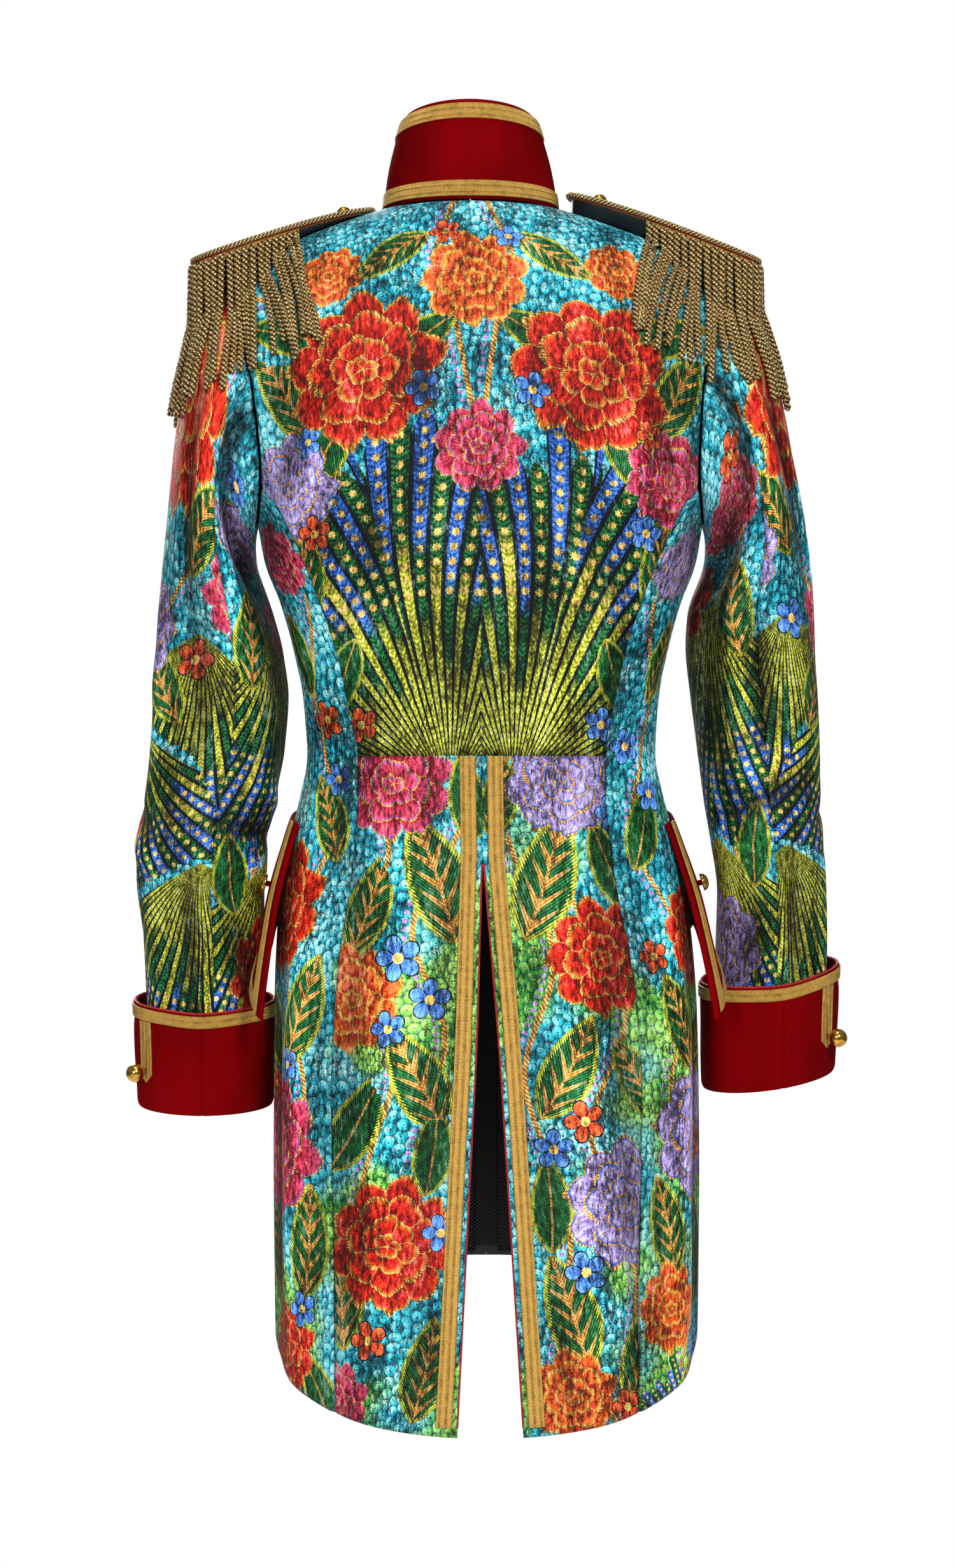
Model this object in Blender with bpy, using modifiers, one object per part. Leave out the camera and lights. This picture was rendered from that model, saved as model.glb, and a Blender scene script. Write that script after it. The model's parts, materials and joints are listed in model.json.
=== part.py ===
# Carnival jacket: a fitted velvet tail coat, built from the panels that a maker cuts.
# Sizes in the tables are millimetres. Left is the wearer's left, +X. The back faces +Y.
# The origin is the middle of the neck opening, where the wearer holds the coat up.
import math

import bmesh
import bpy
import numpy as np
from mathutils import Vector
from mathutils.bvhtree import BVHTree

MM = 0.001
SIDES = {"left": 1, "right": -1}

# Driving sizes
CLOTH = 2.0              # printed velvet with its lining
VELVET = 2.6             # collar and cuffs, interlined
SEAM = 0.4               # gap between two panels at a seam, on the outside
LIFT = 0.3               # gap under anything that lies on a panel
BRAID_THICK = 1.1
BRAID_WIDE = 12.0
HEM_BACK = -905.0        # height of the hem at the centre back, the side and the centre front
HEM_SIDE = -841.0
HEM_FRONT = -797.0
WAIST = -407.0
VENT_TOP = -479.0
VENT_SLOPE = {"left": 0.051, "right": 0.063}   # how fast a vent edge leaves the centre line
VENT_BRAID_IN = 3.6
HEM_DIP = 0.62           # how long the hem stays low before it climbs to the side

# Stations down the edge of a torso panel: shoulder seam, armhole, then side seam
NECK, TIP, UNDERARM, WAISTLINE, HEMLINE = 0.0, 1.0, 2.0, 2.3, 3.0
PRINCESS_START = 1.78    # where the side-back seam leaves the armhole
PRINCESS_EASE = 1.86     # and where it is clear of the armhole
SIDE_BACK_START = 1.80
# Every panel has its rows on these stations, so that two panels bend alike at their seam
ROWS = [0, 0.2, 0.4, 0.6, 0.8, 1, 1.08, 1.16, 1.24, 1.32, 1.4, 1.478, 1.567, 1.678, 1.78, 1.86, 1.93, 2,
        2.075, 2.15, 2.225, 2.3, 2.36, 2.43, 2.5, 2.57, 2.64, 2.71, 2.78, 2.855, 2.93, 3]
FRONT_BUTTON_ROWS = [0.8, 1.16, 1.478, 1.86, 2.15, 2.43]
WAIST_GAP = 0.00033      # half the waist seam's gap, as a station


def table(columns, *rows):
    return {name: np.array([row[i] for row in rows], float) for i, name in enumerate(columns)}


LEAN = table(("z", "x"), (-905, -4), (-650, -4), (-480, -1), (-400, 0), (-200, 1), (-120, 3), (-40, 5),
             (8, 8), (90, 9))

# Centre line of each face, how far its row leaves it sideways, and the pull at the row's other end
BACK = table(
    ("station", "y", "z", "pull", "edge_x", "edge_y", "edge_z"),
    (0.00, 48, 8, 36, 0, 27, 3),
    (0.50, 61, -14, 52, -8, 50, 3),
    (1.00, 80, -44, 72, -45, 40, 14),
    (1.25, 93, -84, 82, -50, 34, 2),
    (1.50, 103, -132, 86, -46, 36, 0),
    (1.75, 107, -183, 90, -26, 46, 0),
    (2.00, 105, -234, 101, 0, 64, 0))
FRONT = table(
    ("station", "y", "z", "pull", "edge_x", "edge_y", "edge_z"),
    (0.00, -60, -50, 40, 0, -30, -4),
    (0.50, -75, -70, 48, -8, -44, 1),
    (1.00, -89, -96, 64, -42, -36, 12),
    (1.25, -102, -122, 74, -48, -30, 0),
    (1.50, -113, -154, 82, -42, -32, 0),
    (1.75, -122, -194, 88, -24, -46, 0),
    (2.00, -127, -238, 101, 0, -75, -2))
PROFILE = table(
    ("z", "half_width", "back_y", "front_y", "side_y", "full"),
    (-234, 168, 105, -127, -2, 0.60),
    (-262, 163, 101, -128, -3, 0.60),
    (-290, 152, 95, -126, -4, 0.60),
    (-330, 141, 86, -118, -5, 0.60),
    (-370, 134, 79, -110, -5, 0.60),
    (-407, 132, 77, -106, -5, 0.60),
    (-435, 137, 82, -107, -4, 0.60),
    (-470, 146, 93, -110, -3, 0.60),
    (-520, 155, 105, -114, -2, 0.61),
    (-600, 160, 113, -119, -1, 0.62),
    (-700, 161, 117, -122, 0, 0.63),
    (-800, 160, 120, -125, 0, 0.64),
    (-905, 158, 123, -127, 0, 0.64))
PRINCESS = table(("z", "x"), (-905, 113), (-780, 114), (-650, 116), (-570, 111), (-480, 97), (-430, 93),
                 (-407, 93), (-370, 100), (-330, 109), (-290, 122), (-250, 138), (-210, 158), (-190, 170))

# Armhole, a turn from the shoulder tip round the back. "out" is the way the sleeve leaves it.
ARMHOLE = table(
    ("turn", "x", "y", "z", "out_x", "out_y", "out_z", "start", "end"),
    (0, 186, -5, -37, 1.00, 0.00, 0.08, 36, 86),
    (45, 179, 37, -80, 0.96, 0.22, 0.00, 33, 74),
    (90, 168, 58, -134, 0.93, 0.20, -0.25, 28, 60),
    (135, 164, 46, -196, 0.80, 0.15, -0.55, 17, 34),
    (180, 168, -2, -234, 0.50, 0.00, -0.87, 7, 11),
    (225, 160, -50, -200, 0.80, -0.15, -0.55, 17, 34),
    (270, 158, -66, -138, 0.93, -0.20, -0.25, 28, 60),
    (315, 172, -44, -80, 0.96, -0.22, 0.00, 33, 74),
    (360, 186, -5, -37, 1.00, 0.00, 0.08, 36, 86))
NECK_SIDE = (66.0, -2.0, 4.0)

# Sleeves below the armpit: middle of each section, half sizes, and roll about Y in degrees
SLEEVES = {
    "left": table(
        ("z", "x", "y", "wide", "deep", "roll"),
        (-268, 202, -3, 36, 63, 0),
        (-300, 197.5, -3, 43.5, 60, 0),
        (-330, 195, -3, 49, 56, 0),
        (-362, 195, -4, 53, 51, 0),
        (-402, 198.5, -6, 53, 48, 0),
        (-440, 205.5, -9, 51, 46, 0),
        (-472, 211, -13, 50, 45, 0),
        (-505, 213, -18, 48.5, 44, 0),
        (-545, 211, -25, 46, 42, 0),
        (-590, 211, -33, 44.5, 41, 0),
        (-676, 211, -46, 43, 40, 0)),
    "right": table(
        ("z", "x", "y", "wide", "deep", "roll"),
        (-268, 206, -3, 40, 63, 0),
        (-300, 202, -3, 47, 60, 0),
        (-330, 203, -3, 49.5, 56, 0),
        (-362, 206, -4, 49, 51, 0),
        (-402, 210, -6, 47.5, 48, 0),
        (-440, 213.5, -9, 45, 46, -2),
        (-472, 217, -13, 42.5, 45, -4),
        (-505, 220, -18, 41, 44, -6),
        (-545, 220, -25, 42, 42, -8),
        (-590, 220, -33, 42.5, 41, -8),
        (-661, 218, -44, 42, 40, -8))}
SEAM_TURN = {"left": 102.0, "right": 86.0}   # the sleeve's back seam
INNER_TURN = 238.0                         # its front seam
CUFFS = {"left": {"top": -592, "bottom": -672, "wide": 52, "deep": 48},
         "right": {"top": -571, "bottom": -652, "wide": 51.5, "deep": 48}}
CUFF_FLARE = 2.0
CUFF_LIP = 0.78          # the lip under the sleeve's end, against the cuff's own ring
CUFF_BRAID = (1.5, 11.0)
TAB_TURN = 36
TAB_WIDE = 14.0
TAB_LONG = 47.0

# Collar: its top ring against the neck seam
COLLAR = {"half_width": 51.0, "back_y": 41.0, "front_y": -50.0, "back_z": 84.0, "side_z": 71.0,
          "front_z": 34.0, "swell": 2.5, "gap": 0.008}

# Pocket flaps, in millimetres round the hip from the side seam and down from the top edge
FLAP = {"behind": -38.0, "ahead": 92.0, "top": -456.0, "rise": 0.10, "hollow": 88.0, "point": 48.0,
        "skew": -0.08, "thick": 2.4, "lift": 0.9, "braid_in": 3.0, "braid_wide": 8.0}
FLAP_STAND = table(("across", "left", "right"), (0.0, 18, 22), (0.14, 18, 22), (0.26, 12, 16), (0.38, 4, 8),
                   (0.62, 3, 6), (0.8, 6, 8), (1.0, 10, 12))
FLAP_BUTTON = (0.2, 0.48)     # across, and a share of the way down to the braid

# Shoulder boards, along the shoulder from the collar outwards; half is half their width
BOARDS = {"left": {"inner_x": 84.0, "inner_z": 3.0, "outer_x": 216.0, "outer_z": -36.5},
          "right": {"inner_x": 68.0, "inner_z": 14.0, "outer_x": 208.0, "outer_z": -37.0}}
BOARD = {"y": -3.0, "thick": 3.0, "arch": 3.5, "sag": 0.0022, "pad": 10.1, "rest": 0.8}
# Half of the outline, "where" 0 at the inner end and 0.5 at the outer one, mirrored for the other half
BOARD_OUTLINE = table(
    ("where", "along", "half"),
    (0.00, 0.000, 0), (0.03, 0.010, 10), (0.06, 0.045, 17), (0.10, 0.120, 22), (0.20, 0.400, 25),
    (0.26, 0.530, 31), (0.31, 0.650, 37), (0.36, 0.780, 39), (0.41, 0.890, 35), (0.45, 0.960, 26),
    (0.48, 0.993, 13), (0.50, 1.000, 0))
BOARD_ROWS = [0.015, 0.04, 0.07, 0.11, 0.16, 0.21, 0.26, 0.31, 0.36, 0.40, 0.435, 0.462, 0.485]
ROPE_RADIUS = 2.0
FRINGE = {"strands": 27, "from": 0.40, "thick": 4.4, "strip": 5.0, "steps": 4, "clear": 3.6, "out": 0.6,
          "uneven": 5.0}
FRINGE_DROP = table(("along", "long"), (0.00, 84), (0.25, 92), (0.45, 96), (0.55, 100), (0.75, 92),
                    (1.00, 84))

MATERIALS = {
    "printed_velvet": ((0.05, 0.33, 0.37), 0.62, 0.0),
    "red_velvet": ((0.27, 0.004, 0.012), 0.70, 0.0),
    "gold_braid": ((0.56, 0.35, 0.08), 0.38, 0.6),
    "gold_bullion": ((0.44, 0.28, 0.09), 0.42, 0.5),
    "gilt_metal": ((0.72, 0.47, 0.14), 0.22, 1.0)}


# Numbers along a table

def smooth(knots, values, at):
    """Monotone cubic curve through a table's rows, so a section never overshoots its neighbours."""
    steps = np.diff(knots)
    slopes = np.diff(values) / steps
    bends = np.zeros(len(knots))
    near, far = 2 * steps[1:] + steps[:-1], steps[1:] + 2 * steps[:-1]
    level = slopes[:-1] * slopes[1:] <= 0
    safe = np.where(level, 1.0, slopes[:-1]), np.where(level, 1.0, slopes[1:])
    bends[1:-1] = np.where(level, 0.0, (near + far) / (near / safe[0] + far / safe[1]))
    bends[0], bends[-1] = slopes[0], slopes[-1]
    at = np.clip(np.asarray(at, float), knots[0], knots[-1])
    i = np.clip(np.searchsorted(knots, at) - 1, 0, len(steps) - 1)
    u = (at - knots[i]) / steps[i]
    rise = values[i] * (1 + 2 * u) * (1 - u) ** 2 + values[i + 1] * u * u * (3 - 2 * u)
    return rise + steps[i] * (bends[i] * u * (1 - u) ** 2 - bends[i + 1] * u * u * (1 - u))


def read(tab, column, at):
    names = list(tab)
    knots, values = tab[names[0]], tab[column]
    if knots[0] > knots[-1]:
        knots, values = knots[::-1], values[::-1]
    return smooth(knots, values, at)


def bezier(p0, p1, p2, p3, u):
    v = 1 - u
    return v ** 3 * p0 + 3 * v * v * u * p1 + 3 * v * u * u * p2 + u ** 3 * p3


def stack(x, y, z):
    return np.stack(np.broadcast_arrays(x, y, z), axis=-1).astype(float)


def normals(surface, u, v, sign, du=0.002, dv=0.002):
    """Unit normals of surface(u, v). Neighbours share them, so a seam keeps its gap through the wall."""
    across = surface(u + du, v) - surface(u - du, v)
    along = surface(u, v + dv) - surface(u, v - dv)
    normal = np.cross(across, along) * sign
    return normal / np.linalg.norm(normal, axis=-1, keepdims=True)


def spread(start, end, count):
    return start + (end - start) * np.linspace(0, 1, count)


# The torso: rows run from the centre line to the shoulder seam, armhole or side seam

def levels(face, station):
    """Heights of a row at the centre and at the edge, below the armpit."""
    start = (FRONT if face == "front" else BACK)["z"][-1]
    hem = HEM_FRONT if face == "front" else HEM_BACK
    edge_start = ARMHOLE["z"][4]
    below = (station - WAISTLINE) / (HEMLINE - WAISTLINE)
    above = (station - UNDERARM) / (WAISTLINE - UNDERARM)
    mid = np.where(below > 0, WAIST + below * (hem - WAIST), start + above * (WAIST - start))
    side = np.where(below > 0, WAIST + below * (HEM_SIDE - WAIST), edge_start + above * (WAIST - edge_start))
    return mid, side


def edge_line(face, station):
    """The far end of a row: shoulder seam, then armhole, then side seam."""
    along = np.clip(station, 0, 1)
    seam = [a + share * (ARMHOLE[c][0] - a)
            for c, a, share in zip("xyz", NECK_SIDE, (along, along, along ** 1.15))]
    turn = np.clip(station - 1, 0, 1) * 180
    hole = [read(ARMHOLE, c, 360 - turn if face == "front" else turn) for c in "xyz"]
    side = levels(face, station)[1]
    down = [read(PROFILE, "half_width", side), read(PROFILE, "side_y", side), side]
    return stack(*(np.where(station <= TIP, a, np.where(station <= UNDERARM, b, c))
                   for a, b, c in zip(seam, hole, down)))


def torso(side, face, along, station):
    """Point of a torso panel: along 0 is the centre line and 1 the edge; station runs neck to hem."""
    u, s = np.broadcast_arrays(np.asarray(along, float), np.asarray(station, float))
    rows = FRONT if face == "front" else BACK
    upper = s <= UNDERARM
    mid_z = np.where(upper, read(rows, "z", s), levels(face, s)[0])
    mid_y = np.where(upper, read(rows, "y", s), read(PROFILE, face + "_y", mid_z))
    edge = edge_line(face, s)
    full = read(PROFILE, "full", mid_z)
    start = stack(0 * s, mid_y, mid_z)
    pull = np.where(upper, read(rows, "pull", s), full * edge[..., 0])
    back_pull = stack(np.where(upper, read(rows, "edge_x", s), 0),
                      np.where(upper, read(rows, "edge_y", s), full * (mid_y - edge[..., 1])),
                      np.where(upper, read(rows, "edge_z", s), HEM_DIP * (mid_z - edge[..., 2])))
    point = bezier(start, start + stack(pull, 0 * s, 0 * s), edge + back_pull, edge, u[..., None])
    point[..., 0] = side * point[..., 0] + read(LEAN, "x", point[..., 2])
    return point


def torso_normals(side, face, along, station):
    """Normals of a panel. At the shoulder and side seams both faces take the mean of the two."""
    along, station = np.broadcast_arrays(np.asarray(along, float), np.asarray(station, float))
    rows = [("back", along, 1), ("front", 1 + 0 * along, -1)]
    if face == "front":
        rows = [("front", along, -1), ("back", 1 + 0 * along, 1)]
    own, other = [normals(lambda u, v: torso(side, name, u, v), at, station, side * sign)
                  for name, at, sign in rows]
    share = np.where((station <= TIP) | (station >= UNDERARM), along ** 12, 0)[..., None]
    mean = own + other * share
    return mean / np.linalg.norm(mean, axis=-1, keepdims=True)


def along_at(side, face, station, x):
    """Where a row passes the distance x from the centre line, 1 at most."""
    samples = np.linspace(0, 1, 81)
    station = np.atleast_1d(station)
    found = []
    for s, wanted in zip(station, np.broadcast_to(x, station.shape)):
        row = torso(side, face, samples, s)
        found.append(np.interp(wanted, side * (row[:, 0] - read(LEAN, "x", row[:, 2])), samples))
    return np.array(found)


def share_of(side, face, station, width):
    """A width in millimetres near the edge of a row, as a share of the row."""
    row = torso(side, face, np.linspace(0, 1, 41)[None, :], np.atleast_1d(station)[:, None])
    return width / np.linalg.norm(np.diff(row, axis=1), axis=-1).sum(axis=1)


def princess(side, station):
    """The side-back seam as a share of the row, 1 above its start on the armhole."""
    station = np.atleast_1d(np.asarray(station, float))
    height = torso(side, "back", 0.7, station)[..., 2]
    share = along_at(side, "back", station, read(PRINCESS, "x", height))
    ease = np.clip((station - PRINCESS_START) / (PRINCESS_EASE - PRINCESS_START), 0, 1)
    return 1 + ease * (np.minimum(share, 0.95) - 1)


# Meshes

def material(name):
    if name in bpy.data.materials:
        return bpy.data.materials[name]
    colour, roughness, metallic = MATERIALS[name]
    made = bpy.data.materials.new(name)
    made.use_nodes = True
    shader = made.node_tree.nodes["Principled BSDF"]
    shader.inputs["Base Color"].default_value = (*colour, 1.0)
    shader.inputs["Roughness"].default_value = roughness
    shader.inputs["Metallic"].default_value = metallic
    made.diffuse_color = (*colour, 1.0)
    return made


def add_object(name, mesh, finish):
    made = bpy.data.objects.new(name, mesh)
    mesh.materials.append(material(finish))
    jacket.objects.link(made)
    return made


def cells(rows, columns, ring=False):
    """Corner numbers of the cells of a grid of points."""
    index = np.arange(rows * columns).reshape(rows, columns)
    if ring:
        index = np.concatenate([index, index[:, :1]], axis=1)
    return np.stack([index[:-1, :-1], index[:-1, 1:], index[1:, 1:], index[1:, :-1]], axis=-1)


def wall(name, grid, out, low, high, finish, picked=None, ring=False):
    """A wall of cloth over the picked cells of a grid: its faces lie low and high along the normals out."""
    faces = cells(*grid.shape[:2], ring)
    faces = (faces[picked] if picked is not None else faces).reshape(-1, 4)
    points, out = grid.reshape(-1, 3), out.reshape(-1, 3)
    corners = points[faces]
    facing = np.cross(corners[:, 2] - corners[:, 0], corners[:, 3] - corners[:, 1])
    if np.sum(facing * out[faces[:, 0]]) < 0:
        faces = faces[:, ::-1]
    used, faces = np.unique(faces, return_inverse=True)
    faces = faces.reshape(-1, 4)
    outer, inner = points[used] + out[used] * high, points[used] + out[used] * low
    edges = np.stack([faces, np.roll(faces, -1, axis=1)], axis=-1).reshape(-1, 2)
    known = set(map(tuple, edges.tolist()))
    rim = [(b, a, a + len(used), b + len(used)) for a, b in edges.tolist() if (b, a) not in known]
    solid = faces.tolist() + (faces[:, ::-1] + len(used)).tolist() + rim
    mesh = bpy.data.meshes.new(name)
    mesh.from_pydata((np.concatenate([outer, inner]) * MM).tolist(), [], solid)
    mesh.shade_smooth()
    mesh.set_sharp_from_angle(angle=math.radians(40))
    return add_object(name, mesh, finish)


def cloth(name, grid, out, finish="printed_velvet", thick=CLOTH, ring=False):
    drape_shapes[name] = (grid.reshape(-1, 3) * MM, cells(*grid.shape[:2], ring).reshape(-1, 4), out)
    return wall(name, grid, out, -thick, 0, finish, ring=ring)


def trim(name, grid, out, picked, ring=False):
    """Braid made from a panel's own points, moved out."""
    return wall(name, grid, out, LIFT, LIFT + BRAID_THICK, "gold_braid", picked, ring)


# Torso panels

def row_list(start, end):
    """Stations of a panel's rows."""
    return np.array([start] + [row for row in ROWS if start < row < end] + [end])


def torso_panel(name, side, face, along, station):
    station = np.broadcast_to(station[:, None], along.shape)
    grid, out = torso(side, face, along, station), torso_normals(side, face, along, station)
    cloth(name, grid, out)
    return grid, out


def make_back():
    stations = row_list(NECK, WAISTLINE - WAIST_GAP)
    gap = share_of(1, "back", stations, SEAM / 2)
    limit = princess(1, stations) - gap
    left = limit[:, None] * np.linspace(0, 1, 10)
    right = left[:, :0:-1]
    rows = stations[:, None]
    halves = ((-1, "back", right, rows), (1, "back", left, rows))
    grid, out = [np.concatenate([make(*half) for half in halves], axis=1) for make in (torso, torso_normals)]
    cloth("back_body", grid, out)


def make_side_back(side_name, side):
    stations = row_list(SIDE_BACK_START, HEMLINE)
    gap = share_of(side, "back", stations, SEAM / 2)
    start, end = princess(side, stations) + gap, 1 - gap
    along = start[:, None] + (end - start)[:, None] * np.linspace(0, 1, 5)
    torso_panel("side_back_" + side_name, side, "back", along, stations)


def make_skirt_back(side_name, side):
    """The skirt's inner edge is a seam down to the vent, then leaves the centre line."""
    stations = row_list(WAISTLINE + WAIST_GAP, HEMLINE)
    height = torso(side, "back", 0.1, stations)[..., 2]
    edge = SEAM / 2 + np.maximum(0, VENT_TOP - height) * VENT_SLOPE[side_name]
    columns = [along_at(side, "back", stations, edge + far)
               for far in (0, VENT_BRAID_IN, VENT_BRAID_IN + BRAID_WIDE)]
    last = princess(side, stations) - share_of(side, "back", stations, SEAM / 2)
    columns += [columns[-1] + (last - columns[-1]) * share for share in spread(0.2, 1, 5)]
    grid, out = torso_panel("skirt_back_" + side_name, side, "back", np.stack(columns, axis=1), stations)
    picked = np.zeros((len(stations) - 1, len(columns) - 1), bool)
    picked[:, 1] = True
    trim("vent_braid_" + side_name, grid, out, picked)


def make_front(side_name, side):
    stations = row_list(NECK, HEMLINE)
    gap = share_of(side, "front", stations, SEAM / 2)
    along = gap[:, None] + (1 - 2 * gap)[:, None] * np.linspace(0, 1, 9)
    torso_panel("front_" + side_name, side, "front", along, stations)


# Sleeves

def arm_ring(side_name, turn, z, grow=0.0):
    """An ellipse square to the arm's middle line, rolled as the arm hangs."""
    tab = SLEEVES[side_name]
    turn, z = np.broadcast_arrays(np.radians(np.asarray(turn, float)), np.asarray(z, float))
    tilt = np.arctan((read(tab, "y", z + 4) - read(tab, "y", z - 4)) / 8)
    roll = np.radians(read(tab, "roll", z))
    a = (read(tab, "wide", z) + grow) * np.cos(turn)
    b = (read(tab, "deep", z) + grow) * np.sin(turn)
    return stack(read(tab, "x", z) + a * np.cos(roll), read(tab, "y", z) + b * np.cos(tilt),
                 z - a * np.sin(roll) - b * np.sin(tilt))


def sleeve(side_name, turn, way):
    """Sleeve surface: way 0 to 1 is the head, from the armhole to the biceps, and 1 to 2 the arm."""
    turn, way = np.broadcast_arrays(np.asarray(turn, float), np.asarray(way, float))
    top, bottom = SLEEVES[side_name]["z"][[0, -1]]
    loop = np.mod(turn, 360)
    out = stack(*(read(ARMHOLE, "out_" + c, loop) for c in "xyz"))
    start = stack(*(read(ARMHOLE, c, loop) for c in "xyz"))
    start[..., 0] += SIDES[side_name] * read(LEAN, "x", start[..., 2])
    start += out * SEAM
    ring, below = arm_ring(side_name, turn, top), arm_ring(side_name, turn, top - 4)
    step = (ring - below) / np.linalg.norm(ring - below, axis=-1, keepdims=True)
    head = bezier(start, start + out * read(ARMHOLE, "start", loop)[..., None],
                  ring + step * read(ARMHOLE, "end", loop)[..., None], ring, np.clip(way, 0, 1)[..., None])
    arm = arm_ring(side_name, turn, top + (np.clip(way, 1, 2) - 1) * (bottom - top))
    point = np.where((way <= 1)[..., None], head, arm)
    point[..., 0] *= SIDES[side_name]
    return point


def make_sleeve(side_name, side):
    """Two panels from the armhole to the inside of the cuff's fold."""
    top, bottom = SLEEVES[side_name]["z"][[0, -1]]
    end = 1 + (CUFFS[side_name]["bottom"] + VELVET + 2 * LIFT - top) / (bottom - top)
    ways = np.concatenate([[0, 0.08, 0.2, 0.36, 0.54, 0.77], spread(1.0, end, 10)])[:, None]
    back_seam = SEAM_TURN[side_name]
    gap = math.degrees(SEAM / 2 / 46.0)
    marks = [180 * (row - TIP) for row in ROWS if TIP <= row <= UNDERARM]
    marks = np.array(sorted(set(marks + [360 - mark for mark in marks if mark > 0])))
    inner = marks[(marks > back_seam + 2) & (marks < INNER_TURN - 2)]
    outer = np.concatenate([marks[marks > INNER_TURN + 2] - 360, marks[marks < back_seam - 2]])
    for part, turns in (("upper", [INNER_TURN - 360 + gap, *outer, back_seam - gap]),
                        ("under", [back_seam + gap, *inner, INNER_TURN - gap])):
        turns = np.unique(turns)
        out = normals(lambda u, v: sleeve(side_name, u, v), turns, ways, -side, du=0.5)
        cloth("sleeve_%s_%s" % (part, side_name), sleeve(side_name, turns, ways), out)


def cuff(side_name, turn, down):
    """Cuff surface: down is millimetres from its top edge, flared a little towards the top."""
    sizes = CUFFS[side_name]
    long = sizes["top"] - sizes["bottom"]
    turn, down = np.broadcast_arrays(np.asarray(turn, float), np.asarray(down, float))
    tab = SLEEVES[side_name]
    middle = (sizes["top"] + sizes["bottom"]) / 2
    z = sizes["top"] - down
    angle = np.radians(turn)
    flare = CUFF_FLARE * (1 - down / long)
    a, b = (sizes["wide"] + flare) * np.cos(angle), (sizes["deep"] + flare) * np.sin(angle)
    roll = math.radians(float(read(tab, "roll", middle)))
    slope = float(read(tab, "y", middle + 30) - read(tab, "y", middle - 30)) / 60
    tilt = math.atan(slope)
    point = stack(float(read(tab, "x", middle)) + a * math.cos(roll),
                  float(read(tab, "y", middle)) + (z - middle) * slope + b * math.cos(tilt),
                  z - a * math.sin(roll) - b * math.sin(tilt))
    point[..., 0] *= SIDES[side_name]
    return point


def make_cuff(side_name, side):
    """A turned-up cuff with a lip under the sleeve's end, and its braid, tab and button."""
    long = CUFFS[side_name]["top"] - CUFFS[side_name]["bottom"]
    half = math.degrees(TAB_WIDE / 2 / 50.0)
    turns = np.concatenate([[TAB_TURN - half, TAB_TURN, TAB_TURN + half], spread(61, 376, 20)])
    downs = np.array([0, *CUFF_BRAID, CUFF_BRAID[1] + LIFT, 32, CUFF_BRAID[1] + TAB_LONG, long])
    grid = cuff(side_name, turns, downs[:, None])
    out = normals(lambda u, v: cuff(side_name, u, v), turns, downs[:, None], -side, du=0.5, dv=0.5)
    middle = grid[-1].mean(axis=0)
    lip = middle + (grid[-1] - middle) * CUFF_LIP
    up = out[-1] * 0 + np.cross(grid[-1, 8] - middle, grid[-1, 2] - middle)
    up = up / np.linalg.norm(up, axis=-1, keepdims=True)
    up *= np.sign(up[..., 2:])
    shell = np.concatenate([grid, lip[None]])
    inner = np.concatenate([grid - out * VELVET, lip[None]])
    inner[-2] = grid[-1] - out[-1] * VELVET + up * VELVET
    inner[-1] = lip + up * VELVET
    wall("cuff_" + side_name, inner, shell - inner, 0, 1, "red_velvet", ring=True)
    band = np.zeros((len(downs) - 1, len(turns)), bool)
    tab = band.copy()
    band[1] = True
    tab[3:5, :2] = True
    trim("cuff_braid_" + side_name, grid, out, band, ring=True)
    trim("cuff_tab_" + side_name, grid, out, tab, ring=True)
    seat = cuff(side_name, TAB_TURN, downs[5] - 6.0)
    normal = out[5, 1]
    make_button("cuff_button_" + side_name, seat + normal * (2 * LIFT + BRAID_THICK), normal, 7.0, ball=True)


# Collar

def collar(turn, up):
    """Stand collar: turn -1 to 1 round from the front opening, up 0 is the neck seam and 1 the top."""
    turn, up = np.broadcast_arrays(np.asarray(turn, float), np.asarray(up, float))
    side, share = np.where(turn < 0, -1, 1), np.abs(turn)
    base = np.zeros(turn.shape + (3,))
    for sign in SIDES.values():
        behind = torso(sign, "back", np.clip(2 * share, 0, 1), 0.0)
        ahead = torso(sign, "front", np.clip(2 - 2 * share, 0, 1), 0.0)
        base += np.where((side == sign)[..., None], np.where((share <= 0.5)[..., None], behind, ahead), 0)
    angle = share * math.pi
    rear = np.cos(angle)
    deep, high = np.where(rear > 0, COLLAR["back_y"], -COLLAR["front_y"]), np.where(
        rear > 0, COLLAR["back_z"] - COLLAR["side_z"], COLLAR["side_z"] - COLLAR["front_z"])
    top = stack(side * COLLAR["half_width"] * np.sin(angle) + LEAN["x"][-1], deep * rear,
                COLLAR["side_z"] + high * rear)
    swell = COLLAR["swell"] * np.sin(math.pi * np.clip(up, 0, 1))
    bulge = stack(side * np.sin(angle) * swell, rear * swell, 0 * swell)
    return base + (top - base) * (COLLAR["gap"] + (1 - COLLAR["gap"]) * up)[..., None] + bulge


def make_collar():
    high = COLLAR["back_z"] - BACK["z"][0]
    turns = np.linspace(-0.998, 0.998, 25)
    ups = np.array([1, 1 - 3 / high, 1 - (3 + BRAID_WIDE) / high, 0.5, (2 + BRAID_WIDE) / high, 2 / high, 0])
    grid = collar(turns, ups[:, None])
    out = normals(collar, turns, ups[:, None], -1)
    cloth("collar", grid, out, "red_velvet", VELVET)
    for name, row in (("collar_braid_top", 1), ("collar_braid_bottom", 4)):
        picked = np.zeros((len(ups) - 1, len(turns) - 1), bool)
        picked[row] = True
        trim(name, grid, out, picked)


# Buttons

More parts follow.
